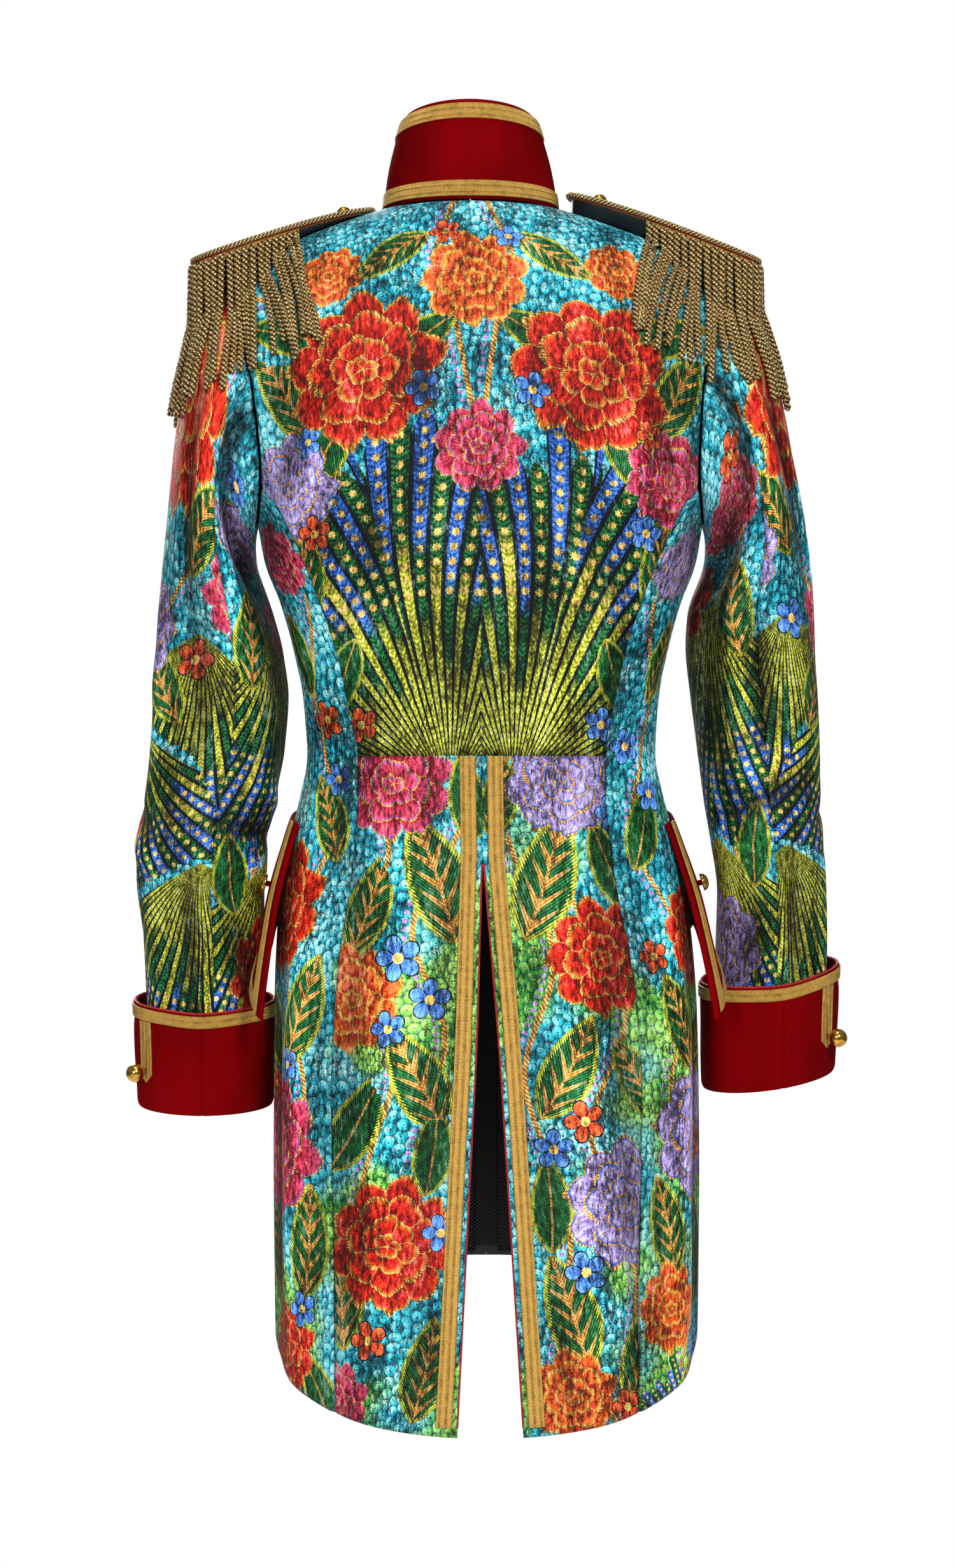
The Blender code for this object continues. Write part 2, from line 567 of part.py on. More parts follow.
def make_button(name, seat, normal, radius, ball=False):
    """Shank button turned on a lathe: a ball or a low dome on a short stem, its foot at seat."""
    stem, shank = radius * 0.3, radius * 0.4
    if ball:
        turns = np.radians([90, 50, 10, -30, -62])
        profile = [(radius * math.cos(a), shank + radius * 0.88 + radius * math.sin(a)) for a in turns]
    else:
        turns = np.radians([90, 48, 12])
        profile = [(radius * math.cos(a), shank + radius * 0.55 * math.sin(a)) for a in turns]
        profile.append((radius * 0.9, shank))
    profile[0] = (0.0, profile[0][1])
    profile += [(stem, profile[-1][1]), (stem, 0.0), (0.0, 0.0)]
    mesh = bpy.data.meshes.new(name)
    mesh.from_pydata([(x * MM, 0, z * MM) for x, z in profile],
                     [(i, i + 1) for i in range(len(profile) - 1)], [])
    made = add_object(name, mesh, "gilt_metal")
    made.location = Vector(seat) * MM
    made.rotation_mode = "QUATERNION"
    made.rotation_quaternion = Vector(normal).to_track_quat("Z", "Y")
    turn = made.modifiers.new("turn", "SCREW")
    turn.steps = turn.render_steps = 9
    turn.use_merge_vertices = True
    turn.merge_threshold = 0.00001
    turn.use_smooth_shade = True


def make_front_buttons():
    """Six plain buttons down the closed front, on the wearer's left edge."""
    for number, station in enumerate(FRONT_BUTTON_ROWS):
        along = along_at(1, "front", station, 12.0)
        normal = torso_normals(1, "front", along, station)[0]
        seat = torso(1, "front", along, station)[0] + normal * LIFT
        make_button("front_button_%d" % (number + 1), seat, normal, 7.5)


# Pocket flaps

def hip(side, around, station):
    """Point on the hip: around is millimetres from the side seam, forward positive."""
    quarter = 205.0
    behind = torso(side, "back", 1 + np.minimum(around, 0) / quarter, station)
    ahead = torso(side, "front", 1 - np.maximum(around, 0) / quarter, station)
    return np.where((around < 0)[..., None], behind, ahead)


def flap(side_name, across, down):
    """Flap surface: across 0 is its rear edge and 1 its front one; down is millimetres from its top."""
    side = SIDES[side_name]
    across, down = np.broadcast_arrays(np.asarray(across, float), np.asarray(down, float))
    around = FLAP["behind"] + across * (FLAP["ahead"] - FLAP["behind"]) + FLAP["skew"] * down * (1 - across)
    z = FLAP["top"] + FLAP["rise"] * (around - FLAP["behind"]) - down
    station = WAISTLINE + (WAIST - z) / (WAIST - HEM_SIDE) * (HEMLINE - WAISTLINE)
    out = normals(lambda u, v: hip(side, u, v), around, station, side, du=1.0)
    stand = read(FLAP_STAND, side_name, across) * np.clip(down / flap_long(0.0), 0, 1) ** 1.1
    return hip(side, around, station) + out * (FLAP["thick"] + FLAP["lift"] + stand)[..., None]


def flap_long(across):
    """Length of the flap: a long point at its rear and its front corner, and a hollow between."""
    return FLAP["hollow"] + FLAP["point"] * np.abs(np.cos(math.pi * np.asarray(across, float))) ** 1.5


def make_flap(side_name, side):
    wide = FLAP["ahead"] - FLAP["behind"]
    near, far = FLAP["braid_in"] / wide, (FLAP["braid_in"] + FLAP["braid_wide"]) / wide
    across = np.concatenate([[0, near, far], spread(0.2, 0.8, 6), [1 - far, 1 - near, 1]])
    long = flap_long(across)
    steep = np.sqrt(1 + (np.gradient(long, across * wide)) ** 2)
    edge, inner = long - FLAP["braid_in"] * steep, long - (FLAP["braid_in"] + FLAP["braid_wide"]) * steep
    downs = np.stack([0 * long, inner * FLAP_BUTTON[1], inner * 0.76, inner, edge, long])
    grid = flap(side_name, across, downs)
    shape = np.broadcast_to(across, downs.shape)
    out = normals(lambda u, v: flap(side_name, u, v), shape, downs, side, dv=0.5)
    wall("pocket_flap_" + side_name, grid, out, -FLAP["thick"], 0, "red_velvet")
    band = np.zeros((len(downs) - 1, len(across) - 1), bool)
    band[:4, [1, -2]] = True
    band[3, 1:-1] = True
    trim("flap_braid_" + side_name, grid, out, band)
    column = int(np.argmin(np.abs(across - FLAP_BUTTON[0])))
    make_button("flap_button_" + side_name, grid[1, column] + out[1, column] * LIFT, out[1, column], 7.0)


# Shoulder boards and fringe

def shoulder_tree(side_name):
    """One search tree of the outer faces that a board rests on and its strands hang over."""
    names = ["back_body", "front_" + side_name, "side_back_" + side_name,
             "sleeve_upper_" + side_name, "sleeve_under_" + side_name]
    all_points, all_faces, count = [], [], 0
    for name in names:
        points, faces, out = drape_shapes[name]
        corners = points[faces]
        facing = np.cross(corners[:, 2] - corners[:, 0], corners[:, 3] - corners[:, 1])
        if np.sum(facing * out.reshape(-1, 3)[faces[:, 0]]) < 0:
            faces = faces[:, ::-1]
        all_faces += (faces + count).tolist()
        all_points += points.tolist()
        count += len(points)
    return BVHTree.FromPolygons(all_points, all_faces)


def board_line(side_name, along):
    """Middle line of a board's underside, a low arch from the collar to beyond the shoulder tip."""
    ends, along = BOARDS[side_name], np.asarray(along, float)
    x = ends["inner_x"] + along * (ends["outer_x"] - ends["inner_x"])
    arch = BOARD["arch"] * 4 * along * (1 - along)
    z = ends["inner_z"] + along * (ends["outer_z"] - ends["inner_z"]) + arch
    return stack(x * SIDES[side_name], BOARD["y"] + 0 * along, z)


def board_sag(across):
    """How far a board's long edges curve down below its middle line."""
    return -BOARD["sag"] * np.asarray(across, float) ** 2


def board_edge(side_name, where, out=0.0, up=0.0):
    """Point beside a board's outline: where 0 is the inner end, 0.5 the outer end, and back to 1."""
    def outline(at):
        at = np.mod(at, 1)
        near = np.minimum(at, 1 - at)
        half = read(BOARD_OUTLINE, "half", near)
        point = board_line(side_name, read(BOARD_OUTLINE, "along", near))
        point[..., 1] += np.where(at < 0.5, 1, -1) * half
        point[..., 2] += board_sag(half)
        return point
    where = np.asarray(where, float)
    step = outline(where + 0.004) - outline(where - 0.004)
    aside = stack(step[..., 1], -step[..., 0], 0) * -SIDES[side_name]
    aside = aside / np.linalg.norm(aside, axis=-1, keepdims=True)
    return outline(where) + aside * out + np.array([0, 0, up])


def make_board(side_name, cloth_tree):
    """A board with a padded underside that rests on the shoulder."""
    rows, shares = np.array(BOARD_ROWS), np.linspace(-1, 1, 7)
    across = shares * read(BOARD_OUTLINE, "half", rows)[:, None]
    middle = board_line(side_name, read(BOARD_OUTLINE, "along", rows))
    grid = middle[:, None] + stack(0, across, board_sag(across))
    down = Vector((0, 0, -1))
    room = [[(cloth_tree.ray_cast(Vector(point) * MM, down)[3] or 0) / MM for point in row] for row in grid]
    room = np.min([np.roll(room, shift, axis=0) for shift in (-1, 0, 1)], axis=0)
    pad = np.clip(room - BOARD["rest"], 0, BOARD["pad"] * (1 - shares ** 2))
    under = grid - stack(0, 0, pad)
    rise = stack(0, 0, pad + BOARD["thick"])
    wall("epaulette_board_" + side_name, under, rise, 0, 1, "red_velvet")
    spot = board_line(side_name, 0.15) + np.array([0, 0, BOARD["thick"] + LIFT])
    slope = board_line(side_name, 0.2) - board_line(side_name, 0.1)
    normal = np.cross(slope, (0, 1, 0))
    normal = normal / np.linalg.norm(normal) * np.sign(normal[2])
    make_button("epaulette_button_" + side_name, spot + normal * LIFT, normal, 5.5)


def make_rope(side_name):
    rows = np.array([0.0] + BOARD_ROWS + [0.5] + [1 - row for row in reversed(BOARD_ROWS)])
    path = board_edge(side_name, rows, out=ROPE_RADIUS + LIFT, up=BOARD["thick"])
    curve = bpy.data.curves.new("epaulette_rope_" + side_name, "CURVE")
    curve.dimensions = "3D"
    spline = curve.splines.new("POLY")
    spline.points.add(len(path) - 1)
    for point, spot in zip(spline.points, path * MM):
        point.co = (*spot, 1.0)
    spline.use_cyclic_u = True
    curve.bevel_depth = ROPE_RADIUS * MM
    curve.bevel_resolution = 1
    curve.materials.append(material("gold_bullion"))
    jacket.objects.link(bpy.data.objects.new(curve.name, curve))


def hang(root, long, cloth_tree):
    """A strand's line: straight down from its root, pushed clear of the cloth under it."""
    spot, line = Vector(root), [Vector(root)]
    for number in range(FRINGE["steps"] * 3):
        spot = spot + Vector((0, 0, -long / FRINGE["steps"] / 3))
        for repeat in range(3):
            near, facing, face, gap = cloth_tree.find_nearest(spot * MM)
            near = near / MM
            if (spot - near).dot(facing) < FRINGE["clear"]:
                spot = near + facing * (FRINGE["clear"] + 0.02)
        if number % 3 == 2:
            line.append(spot)
    return line


def make_fringe(side_name, cloth_tree):
    """Strands drawn down out of one narrow heading, which follows the board's outer end."""
    count, thick = FRINGE["strands"], FRINGE["thick"]
    marks = spread(FRINGE["from"] / 2, 1 - FRINGE["from"] / 2, 801)
    path = board_edge(side_name, marks, out=FRINGE["out"])
    run = np.concatenate([[0], np.cumsum(np.linalg.norm(np.diff(path, axis=0), axis=1))])
    gap = (run[-1] - count * thick) / (count - 1)
    stops = np.cumsum([0] + [gap if i % 2 else thick for i in range(2 * count - 1)])
    where = np.interp(stops, run, marks)
    mesh = bmesh.new()
    rings = []
    for out in (FRINGE["out"], FRINGE["out"] + thick * 0.75):
        for up in (-LIFT, -FRINGE["strip"]):
            rings.append([mesh.verts.new(Vector(p) * MM) for p in board_edge(side_name, where, out, up)])
    in_top, in_low, out_top, out_low = rings
    for i in range(2 * count - 1):
        mesh.faces.new((in_top[i], in_top[i + 1], out_top[i + 1], out_top[i]))
        mesh.faces.new((in_top[i + 1], in_top[i], in_low[i], in_low[i + 1]))
        mesh.faces.new((out_top[i], out_top[i + 1], out_low[i + 1], out_low[i]))
        ring = [in_low[i], out_low[i], out_low[i + 1], in_low[i + 1]]
        if i % 2 == 0:
            middle = sum((c.co for c in ring), Vector()) / 4
            offsets = [c.co - middle for c in ring]
            share = i / (2 * count - 2)
            long = float(read(FRINGE_DROP, "long", share)) + FRINGE["uneven"] * math.sin(i * 2.3)
            for number, spot in enumerate(hang(middle / MM, long, cloth_tree)[1:]):
                thin = 0.62 if number == FRINGE["steps"] - 1 else 0.86
                lower = [mesh.verts.new(spot * MM + offset * thin) for offset in offsets]
                for a in range(4):
                    mesh.faces.new((ring[a], ring[(a + 1) % 4], lower[(a + 1) % 4], lower[a]))
                ring = lower
        mesh.faces.new(ring)
    for i in (0, 2 * count - 1):
        mesh.faces.new((in_top[i], out_top[i], out_low[i], in_low[i]))
    bmesh.ops.recalc_face_normals(mesh, faces=mesh.faces)
    data = bpy.data.meshes.new("fringe_" + side_name)
    mesh.to_mesh(data)
    mesh.free()
    add_object("fringe_" + side_name, data, "gold_bullion")


for old in list(bpy.data.objects):
    bpy.data.objects.remove(old, do_unlink=True)
jacket = bpy.data.collections.new("carnival_jacket")
bpy.context.scene.collection.children.link(jacket)
drape_shapes = {}

make_back()
make_collar()
make_front_buttons()
for side_name, side in SIDES.items():
    make_side_back(side_name, side)
    make_skirt_back(side_name, side)
    make_front(side_name, side)
    make_sleeve(side_name, side)
    make_cuff(side_name, side)
    make_flap(side_name, side)
    under_board = shoulder_tree(side_name)
    make_board(side_name, under_board)
    make_rope(side_name)
    make_fringe(side_name, under_board)
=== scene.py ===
# Carnival jacket: a fitted coat of printed stretch velvet with red velvet collar, cuffs and flaps,
# gold braid and fringed shoulder boards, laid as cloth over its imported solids.
# Sizes in the dictionaries and tables are millimetres. +X is the wearer's left, +Y their back.
import json
import math
from functools import partial

import bpy
import numpy as np
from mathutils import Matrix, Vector
from mathutils.bvhtree import BVHTree

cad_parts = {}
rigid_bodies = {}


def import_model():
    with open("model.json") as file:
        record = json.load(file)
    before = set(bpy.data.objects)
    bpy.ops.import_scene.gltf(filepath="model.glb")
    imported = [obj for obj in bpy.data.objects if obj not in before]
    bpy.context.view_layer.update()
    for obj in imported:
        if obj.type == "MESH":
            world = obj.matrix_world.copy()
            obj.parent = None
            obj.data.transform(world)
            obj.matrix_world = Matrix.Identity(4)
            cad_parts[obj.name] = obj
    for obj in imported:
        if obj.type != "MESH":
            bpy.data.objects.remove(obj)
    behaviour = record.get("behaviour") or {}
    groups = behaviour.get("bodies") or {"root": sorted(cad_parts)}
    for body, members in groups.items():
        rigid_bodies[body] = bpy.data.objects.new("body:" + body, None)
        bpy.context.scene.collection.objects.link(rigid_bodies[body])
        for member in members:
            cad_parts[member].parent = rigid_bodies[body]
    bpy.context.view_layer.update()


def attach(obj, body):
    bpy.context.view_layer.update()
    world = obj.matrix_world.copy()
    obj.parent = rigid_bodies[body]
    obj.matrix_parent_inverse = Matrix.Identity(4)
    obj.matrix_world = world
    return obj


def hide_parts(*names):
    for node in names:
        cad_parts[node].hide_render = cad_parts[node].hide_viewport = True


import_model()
mm = 0.001
sides = {"left": 1, "right": -1}
print("frame loaded")


# Camera, floor and light

view = {"place": (0.0028, 3.31, -0.428), "aim": (0.0028, 0.0, -0.428), "lens": 100.5, "sensor": 36.0}
room = {"floor": -1.6, "wide": 5.6, "paper": "#f6f6f4", "above": 0.24, "below": 0.08}
lamps = (("key", (-0.9, 3.4, 1.3), 0.6, 84), ("fill", (1.1, 3.3, 0.2), 0.8, 30),
         ("top", (0.1, 0.7, 2.4), 1.0, 24), ("front", (0.6, -3.0, 1.0), 1.8, 66))


def placeView():
    # The photo's camera behind the coat, four lamps, and a white surround.
    lens = bpy.data.cameras.new("camera")
    lens.sensor_fit, lens.sensor_height, lens.lens = "VERTICAL", view["sensor"], view["lens"]
    camera = bpy.data.objects.new("camera", lens)
    bpy.context.scene.collection.objects.link(camera)
    camera.location = view["place"]
    camera.rotation_euler = (Vector(view["aim"]) - Vector(view["place"])).to_track_quat("-Z", "Y").to_euler()
    bpy.context.scene.camera = camera
    for name, place, size, power in lamps:
        light = bpy.data.lights.new(name, "AREA")
        light.size, light.energy = size, power
        lamp = bpy.data.objects.new(name, light)
        bpy.context.scene.collection.objects.link(lamp)
        lamp.location = place
        lamp.rotation_euler = (Vector((0, 0, -0.45)) - Vector(place)).to_track_quat("-Z", "Y").to_euler()
    world = bpy.data.worlds.new("studio")
    world.use_nodes = True
    tree = world.node_tree  # a white surround; what it lends the coat is dim, so that the lamps shape it
    split, fade, most = [tree.nodes.new("ShaderNode" + kind) for kind in ("SeparateXYZ", "MapRange", "Math")]
    tree.links.new(tree.nodes.new("ShaderNodeTexCoord").outputs["Generated"], split.inputs[0])
    for label, value in zip(("From Min", "From Max", "To Min", "To Max"),
                            (-0.4, 0.6, room["below"], room["above"])):
        fade.inputs[label].default_value = value
    tree.links.new(split.outputs["Z"], fade.inputs["Value"])
    most.operation = "MAXIMUM"
    tree.links.new(fade.outputs[0], most.inputs[0])
    tree.links.new(tree.nodes.new("ShaderNodeLightPath").outputs["Is Camera Ray"], most.inputs[1])
    tree.links.new(most.outputs[0], tree.nodes["Background"].inputs["Strength"])
    tree.nodes["Background"].inputs["Color"].default_value = (1, 1, 1, 1)
    bpy.context.scene.world = world
    bpy.context.scene.view_settings.view_transform = "Standard"


placeView()


# Numbers along a table

def rowsOf(columns, *rows):
    # One array for each named column.
    return {name: np.array([row[i] for row in rows], float) for i, name in enumerate(columns.split())}


def smooth(knots, values, at):
    # Monotone cubic through the knots: slopes are the weighted harmonic mean of the two chords.
    steps = np.diff(knots)
    slopes = np.diff(values) / steps
    bends = np.zeros(len(knots))
    near, far = 2 * steps[1:] + steps[:-1], steps[1:] + 2 * steps[:-1]
    level = slopes[:-1] * slopes[1:] <= 0
    safe = np.where(level, 1.0, slopes[:-1]), np.where(level, 1.0, slopes[1:])
    bends[1:-1] = np.where(level, 0.0, (near + far) / (near / safe[0] + far / safe[1]))
    bends[0], bends[-1] = slopes[0], slopes[-1]
    at = np.clip(np.asarray(at, float), knots[0], knots[-1])
    i = np.clip(np.searchsorted(knots, at) - 1, 0, len(steps) - 1)
    u = (at - knots[i]) / steps[i]
    rise = values[i] * (1 + 2 * u) * (1 - u) ** 2 + values[i + 1] * u * u * (3 - 2 * u)
    return rise + steps[i] * (bends[i] * u * (1 - u) ** 2 - bends[i + 1] * u * u * (1 - u))


def read(table, column, at):
    # A column of a table, smooth along the table's first column.
    names = list(table)
    knots, values = table[names[0]], table[column]
    if knots[0] > knots[-1]:
        knots, values = knots[::-1], values[::-1]
    return smooth(knots, values, at)


def bezier(p0, p1, p2, p3, u):
    # A cubic from p0 to p3, drawn towards p1 and p2.
    v = 1 - u
    return v ** 3 * p0 + 3 * v * v * u * p1 + 3 * v * u * u * p2 + u ** 3 * p3


def stack(x, y, z):
    # Points from their three coordinates.
    return np.stack(np.broadcast_arrays(x, y, z), axis=-1).astype(float)


def unit(v):
    # Vectors made one long.
    return v / np.maximum(np.linalg.norm(v, axis=-1, keepdims=True), 1e-9)


def normals(surface, u, v, sign, du=0.002, dv=0.002):
    # Unit normals of surface(u, v) from the cross product of its two central differences.
    return unit(np.cross(surface(u + du, v) - surface(u - du, v), surface(u, v + dv) - surface(u, v - dv))
                * sign)


# The coat's cut: the same sizes as its solids

neck, tip, underarm, waistline, hemline = 0.0, 1.0, 2.0, 2.3, 3.0
heights = {"waist": -407, "hemBack": -905, "hemSide": -841, "hemFront": -797, "ventTop": -479, "dip": 0.62}
ventSlope = {"left": 0.051, "right": 0.063}
lean = rowsOf("z x", (-905, -4), (-650, -4), (-480, -1), (-400, 0), (-200, 1), (-120, 3), (-40, 5), (8, 8),
    (90, 9))
backRows = rowsOf("station y z pull edgeX edgeY edgeZ", (0.00, 48, 8, 36, 0, 27, 3),
    (0.50, 61, -14, 52, -8, 50, 3), (1.00, 80, -44, 72, -45, 40, 14), (1.25, 93, -84, 82, -50, 34, 2),
    (1.50, 103, -132, 86, -46, 36, 0), (1.75, 107, -183, 90, -26, 46, 0), (2.00, 105, -234, 101, 0, 64, 0))
frontRows = rowsOf("station y z pull edgeX edgeY edgeZ", (0.00, -60, -50, 40, 0, -30, -4),
    (0.50, -75, -70, 48, -8, -44, 1), (1.00, -89, -96, 64, -42, -36, 12), (1.25, -102, -122, 74, -48, -30, 0),
    (1.50, -113, -154, 82, -42, -32, 0), (1.75, -122, -194, 88, -24, -46, 0),
    (2.00, -127, -238, 101, 0, -75, -2))
profile = rowsOf("z halfWidth back front side full", (-234, 168, 105, -127, -2, 0.60),
    (-262, 163, 101, -128, -3, 0.60), (-290, 152, 95, -126, -4, 0.60), (-330, 141, 86, -118, -5, 0.60),
    (-370, 134, 79, -110, -5, 0.60), (-407, 132, 77, -106, -5, 0.60), (-435, 137, 82, -107, -4, 0.60),
    (-470, 146, 93, -110, -3, 0.60), (-520, 155, 105, -114, -2, 0.61), (-600, 160, 113, -119, -1, 0.62),
    (-700, 161, 117, -122, 0, 0.63), (-800, 160, 120, -125, 0, 0.64), (-905, 158, 123, -127, 0, 0.64))
princessLine = rowsOf("z x", (-905, 113), (-780, 114), (-650, 116), (-570, 111), (-480, 97), (-430, 93),
    (-407, 93), (-370, 100), (-330, 109), (-290, 122), (-250, 138), (-210, 158), (-190, 170))
armhole = rowsOf("turn x y z outX outY outZ start end", (0, 186, -5, -37, 1.00, 0.00, 0.08, 36, 86),
    (45, 179, 37, -80, 0.96, 0.22, 0.00, 33, 74), (90, 168, 58, -134, 0.93, 0.20, -0.25, 28, 60),
    (135, 164, 46, -196, 0.80, 0.15, -0.55, 17, 34), (180, 168, -2, -234, 0.50, 0.00, -0.87, 7, 11),
    (225, 160, -50, -200, 0.80, -0.15, -0.55, 17, 34), (270, 158, -66, -138, 0.93, -0.20, -0.25, 28, 60),
    (315, 172, -44, -80, 0.96, -0.22, 0.00, 33, 74), (360, 186, -5, -37, 1.00, 0.00, 0.08, 36, 86))
neckSide = (66.0, -2.0, 4.0)
sleeves = {
    "left": rowsOf("z x y wide deep roll", (-268, 202, -3, 36, 63, 0), (-300, 197.5, -3, 43.5, 60, 0),
        (-330, 195, -3, 49, 56, 0), (-362, 195, -4, 53, 51, 0), (-402, 198.5, -6, 53, 48, 0),
        (-440, 205.5, -9, 51, 46, 0), (-472, 211, -13, 50, 45, 0), (-505, 213, -18, 48.5, 44, 0),
        (-545, 211, -25, 46, 42, 0), (-590, 211, -33, 44.5, 41, 0), (-676, 211, -46, 43, 40, 0)),
    "right": rowsOf("z x y wide deep roll", (-268, 206, -3, 40, 63, 0), (-300, 202, -3, 47, 60, 0),
        (-330, 203, -3, 49.5, 56, 0), (-362, 206, -4, 49, 51, 0), (-402, 210, -6, 47.5, 48, 0),
        (-440, 213.5, -9, 45, 46, -2), (-472, 217, -13, 42.5, 45, -4), (-505, 220, -18, 41, 44, -6),
        (-545, 220, -25, 42, 42, -8), (-590, 220, -33, 42.5, 41, -8), (-661, 218, -44, 42, 40, -8))}
seamTurn = {"left": 102.0, "right": 86.0}
innerTurn = 238.0


def levels(face, station):
    # Heights of a row at the centre and at the side: straight lines from armpit to waist to hem.
    start = (frontRows if face == "front" else backRows)["z"][-1]
    hem = heights["hemFront"] if face == "front" else heights["hemBack"]
    below = (station - waistline) / (hemline - waistline)
    above = (station - underarm) / (waistline - underarm)
    waist, armpit = heights["waist"], armhole["z"][4]
    return (np.where(below > 0, waist + below * (hem - waist), start + above * (waist - start)),
            np.where(below > 0, waist + below * (heights["hemSide"] - waist),
                     armpit + above * (waist - armpit)))


def edgeLine(face, station):
    # The far end of a row: down the shoulder seam, round the armhole, then down the side seam.
    along = np.clip(station, 0, 1)
    seam = [a + share * (armhole[c][0] - a) for c, a, share in zip("xyz", neckSide,
            (along, along, along ** 1.15))]
    turn = np.clip(station - 1, 0, 1) * 180
    hole = [read(armhole, c, 360 - turn if face == "front" else turn) for c in "xyz"]
    side = levels(face, station)[1]
    down = [read(profile, "halfWidth", side), read(profile, "side", side), side]
    return stack(*(np.where(station <= tip, a, np.where(station <= underarm, b, c)) for a, b,
                   c in zip(seam, hole, down)))


def torso(side, face, along, station):
    # A row of the body is a cubic from the centre line, along 0, to the edge, along 1; rows run down.
    u, s = np.broadcast_arrays(np.asarray(along, float), np.asarray(station, float))
    rows = frontRows if face == "front" else backRows
    upper = s <= underarm
    midZ = np.where(upper, read(rows, "z", s), levels(face, s)[0])
    midY = np.where(upper, read(rows, "y", s), read(profile, face, midZ))
    edge = edgeLine(face, s)
    full = read(profile, "full", midZ)
    start = stack(0 * s, midY, midZ)
    pull = np.where(upper, read(rows, "pull", s), full * edge[..., 0])
    pullBack = stack(np.where(upper, read(rows, "edgeX", s), 0), np.where(upper, read(rows, "edgeY", s),
            full * (midY - edge[..., 1])), np.where(upper, read(rows, "edgeZ", s),
            heights["dip"] * (midZ - edge[..., 2])))
    point = bezier(start, start + stack(pull, 0 * s, 0 * s), edge + pullBack, edge, u[..., None])
    point[..., 0] = side * point[..., 0] + read(lean, "x", point[..., 2])
    return point


def torsoNormals(side, face, along, station):
    # Normals of the body; at the shoulder and side seams the back and the front share their mean.
    along, station = np.broadcast_arrays(np.asarray(along, float), np.asarray(station, float))
    signs = {"back": side, "front": -side}
    other = "back" if face == "front" else "front"
    own = normals(partial(torso, side, face), along, station, signs[face])
    beyond = normals(partial(torso, side, other), 1 + 0 * along, station, signs[other])
    return unit(own + beyond * np.where((station <= tip) | (station >= underarm), along ** 12, 0)[..., None])


def alongAt(side, face, station, x):
    # Where each row passes the distance x from the centre line.
    samples = np.linspace(0, 1, 81)
    station = np.atleast_1d(station)
    grid = torso(side, face, samples[None, :], station[:, None])
    across = side * (grid[..., 0] - read(lean, "x", grid[..., 2]))
    return np.array([np.interp(w, row, samples) for w, row in zip(np.broadcast_to(x, station.shape), across)])


def princess(side, station):
    # The side-back seam as a share of the row: 1 where it leaves the armhole, then its own line.
    station = np.atleast_1d(np.asarray(station, float))
    share = alongAt(side, "back", station, read(princessLine, "x", torso(side, "back", 0.7, station)[..., 2]))
    return 1 + np.clip((station - 1.78) / 0.08, 0, 1) * (np.minimum(share, 0.95) - 1)


def armRing(sideName, turn, z, grow=0.0):
    # An ellipse square to the arm's middle line, rolled as the arm hangs.
    arm = sleeves[sideName]
    turn, z = np.broadcast_arrays(np.radians(np.asarray(turn, float)), np.asarray(z, float))
    tilt = np.arctan((read(arm, "y", z + 4) - read(arm, "y", z - 4)) / 8)
    roll = np.radians(read(arm, "roll", z))
    a, b = (read(arm, "wide", z) + grow) * np.cos(turn), (read(arm, "deep", z) + grow) * np.sin(turn)
    return stack(read(arm, "x", z) + a * np.cos(roll), read(arm, "y", z) + b * np.cos(tilt),
                 z - a * np.sin(roll) - b * np.sin(tilt))


def sleeve(sideName, turn, way):
    # Way 0 to 1 is a cubic from the armhole to the biceps ring, and 1 to 2 the rings down the arm.
    turn, way = np.broadcast_arrays(np.asarray(turn, float), np.asarray(way, float))
    top, bottom = sleeves[sideName]["z"][[0, -1]]
    loop = np.mod(turn, 360)
    out = stack(*(read(armhole, "out" + c, loop) for c in "XYZ"))
    start = stack(*(read(armhole, c, loop) for c in "xyz"))
    start[..., 0] += sides[sideName] * read(lean, "x", start[..., 2])
    start += out * 0.12
    ring, below = armRing(sideName, turn, top), armRing(sideName, turn, top - 4)
    head = bezier(start, start + out * read(armhole, "start", loop)[..., None], ring + unit(ring - below)
                  * read(armhole, "end", loop)[..., None], ring, np.clip(way, 0, 1)[..., None])
    arm = armRing(sideName, turn, top + (np.clip(way, 1, 2) - 1) * (bottom - top))
    point = np.where((way <= 1)[..., None], head, arm)
    point[..., 0] *= sides[sideName]
    return point


# Creases: each is a soft ridge or valley along a short line, in millimetres on the cut

def foldHeight(cut, folds):
    # Sum of depth * exp(-(distance / width)^2), each fold fading towards its two ends.
    height = np.zeros(cut.shape[:-1])
    for x0, y0, x1, y1, width, depth in folds:
        a, d = np.array([x0, y0], float), np.array([x1 - x0, y1 - y0], float)
        t = np.clip(((cut - a) @ d) / (d @ d), 0, 1)
        away = np.linalg.norm(cut - a - t[..., None] * d, axis=-1)
        height += depth * np.exp(-(away / width) ** 2) * np.sin(math.pi * (0.08 + 0.84 * t)) ** 0.8
    return height


def paced(long, step, ends=(0.7, 1.8, 3.2, 5.2, 8.0)):
    # Shares from 0 to 1, about a step apart, with a few close to each end for the seam's roll.
    ends = np.array(ends)
    inner = np.linspace(ends[-1], long - ends[-1], max(2, int((long - 2 * ends[-1]) / step)))
    return np.concatenate([[0], ends[:-1], inner, long - ends[:-1][::-1], [long]]) / long


def rowMarks(*stops):
    # Stations between stops: each stop is (station, number of rows up to the next).
    runs = [np.linspace(a, b, n, endpoint=False) for (a, n), (b, _) in zip(stops, stops[1:])]
    return np.concatenate([*runs, [stops[-1][0]]])


def runAlong(grid, axis):
    # Distance travelled along an axis of a grid of points.
    steps = np.linalg.norm(np.diff(grid, axis=axis), axis=-1)
    pad = [(0, 0), (0, 0)]
    pad[axis] = (1, 0)
    return np.cumsum(np.pad(steps, pad), axis=axis)


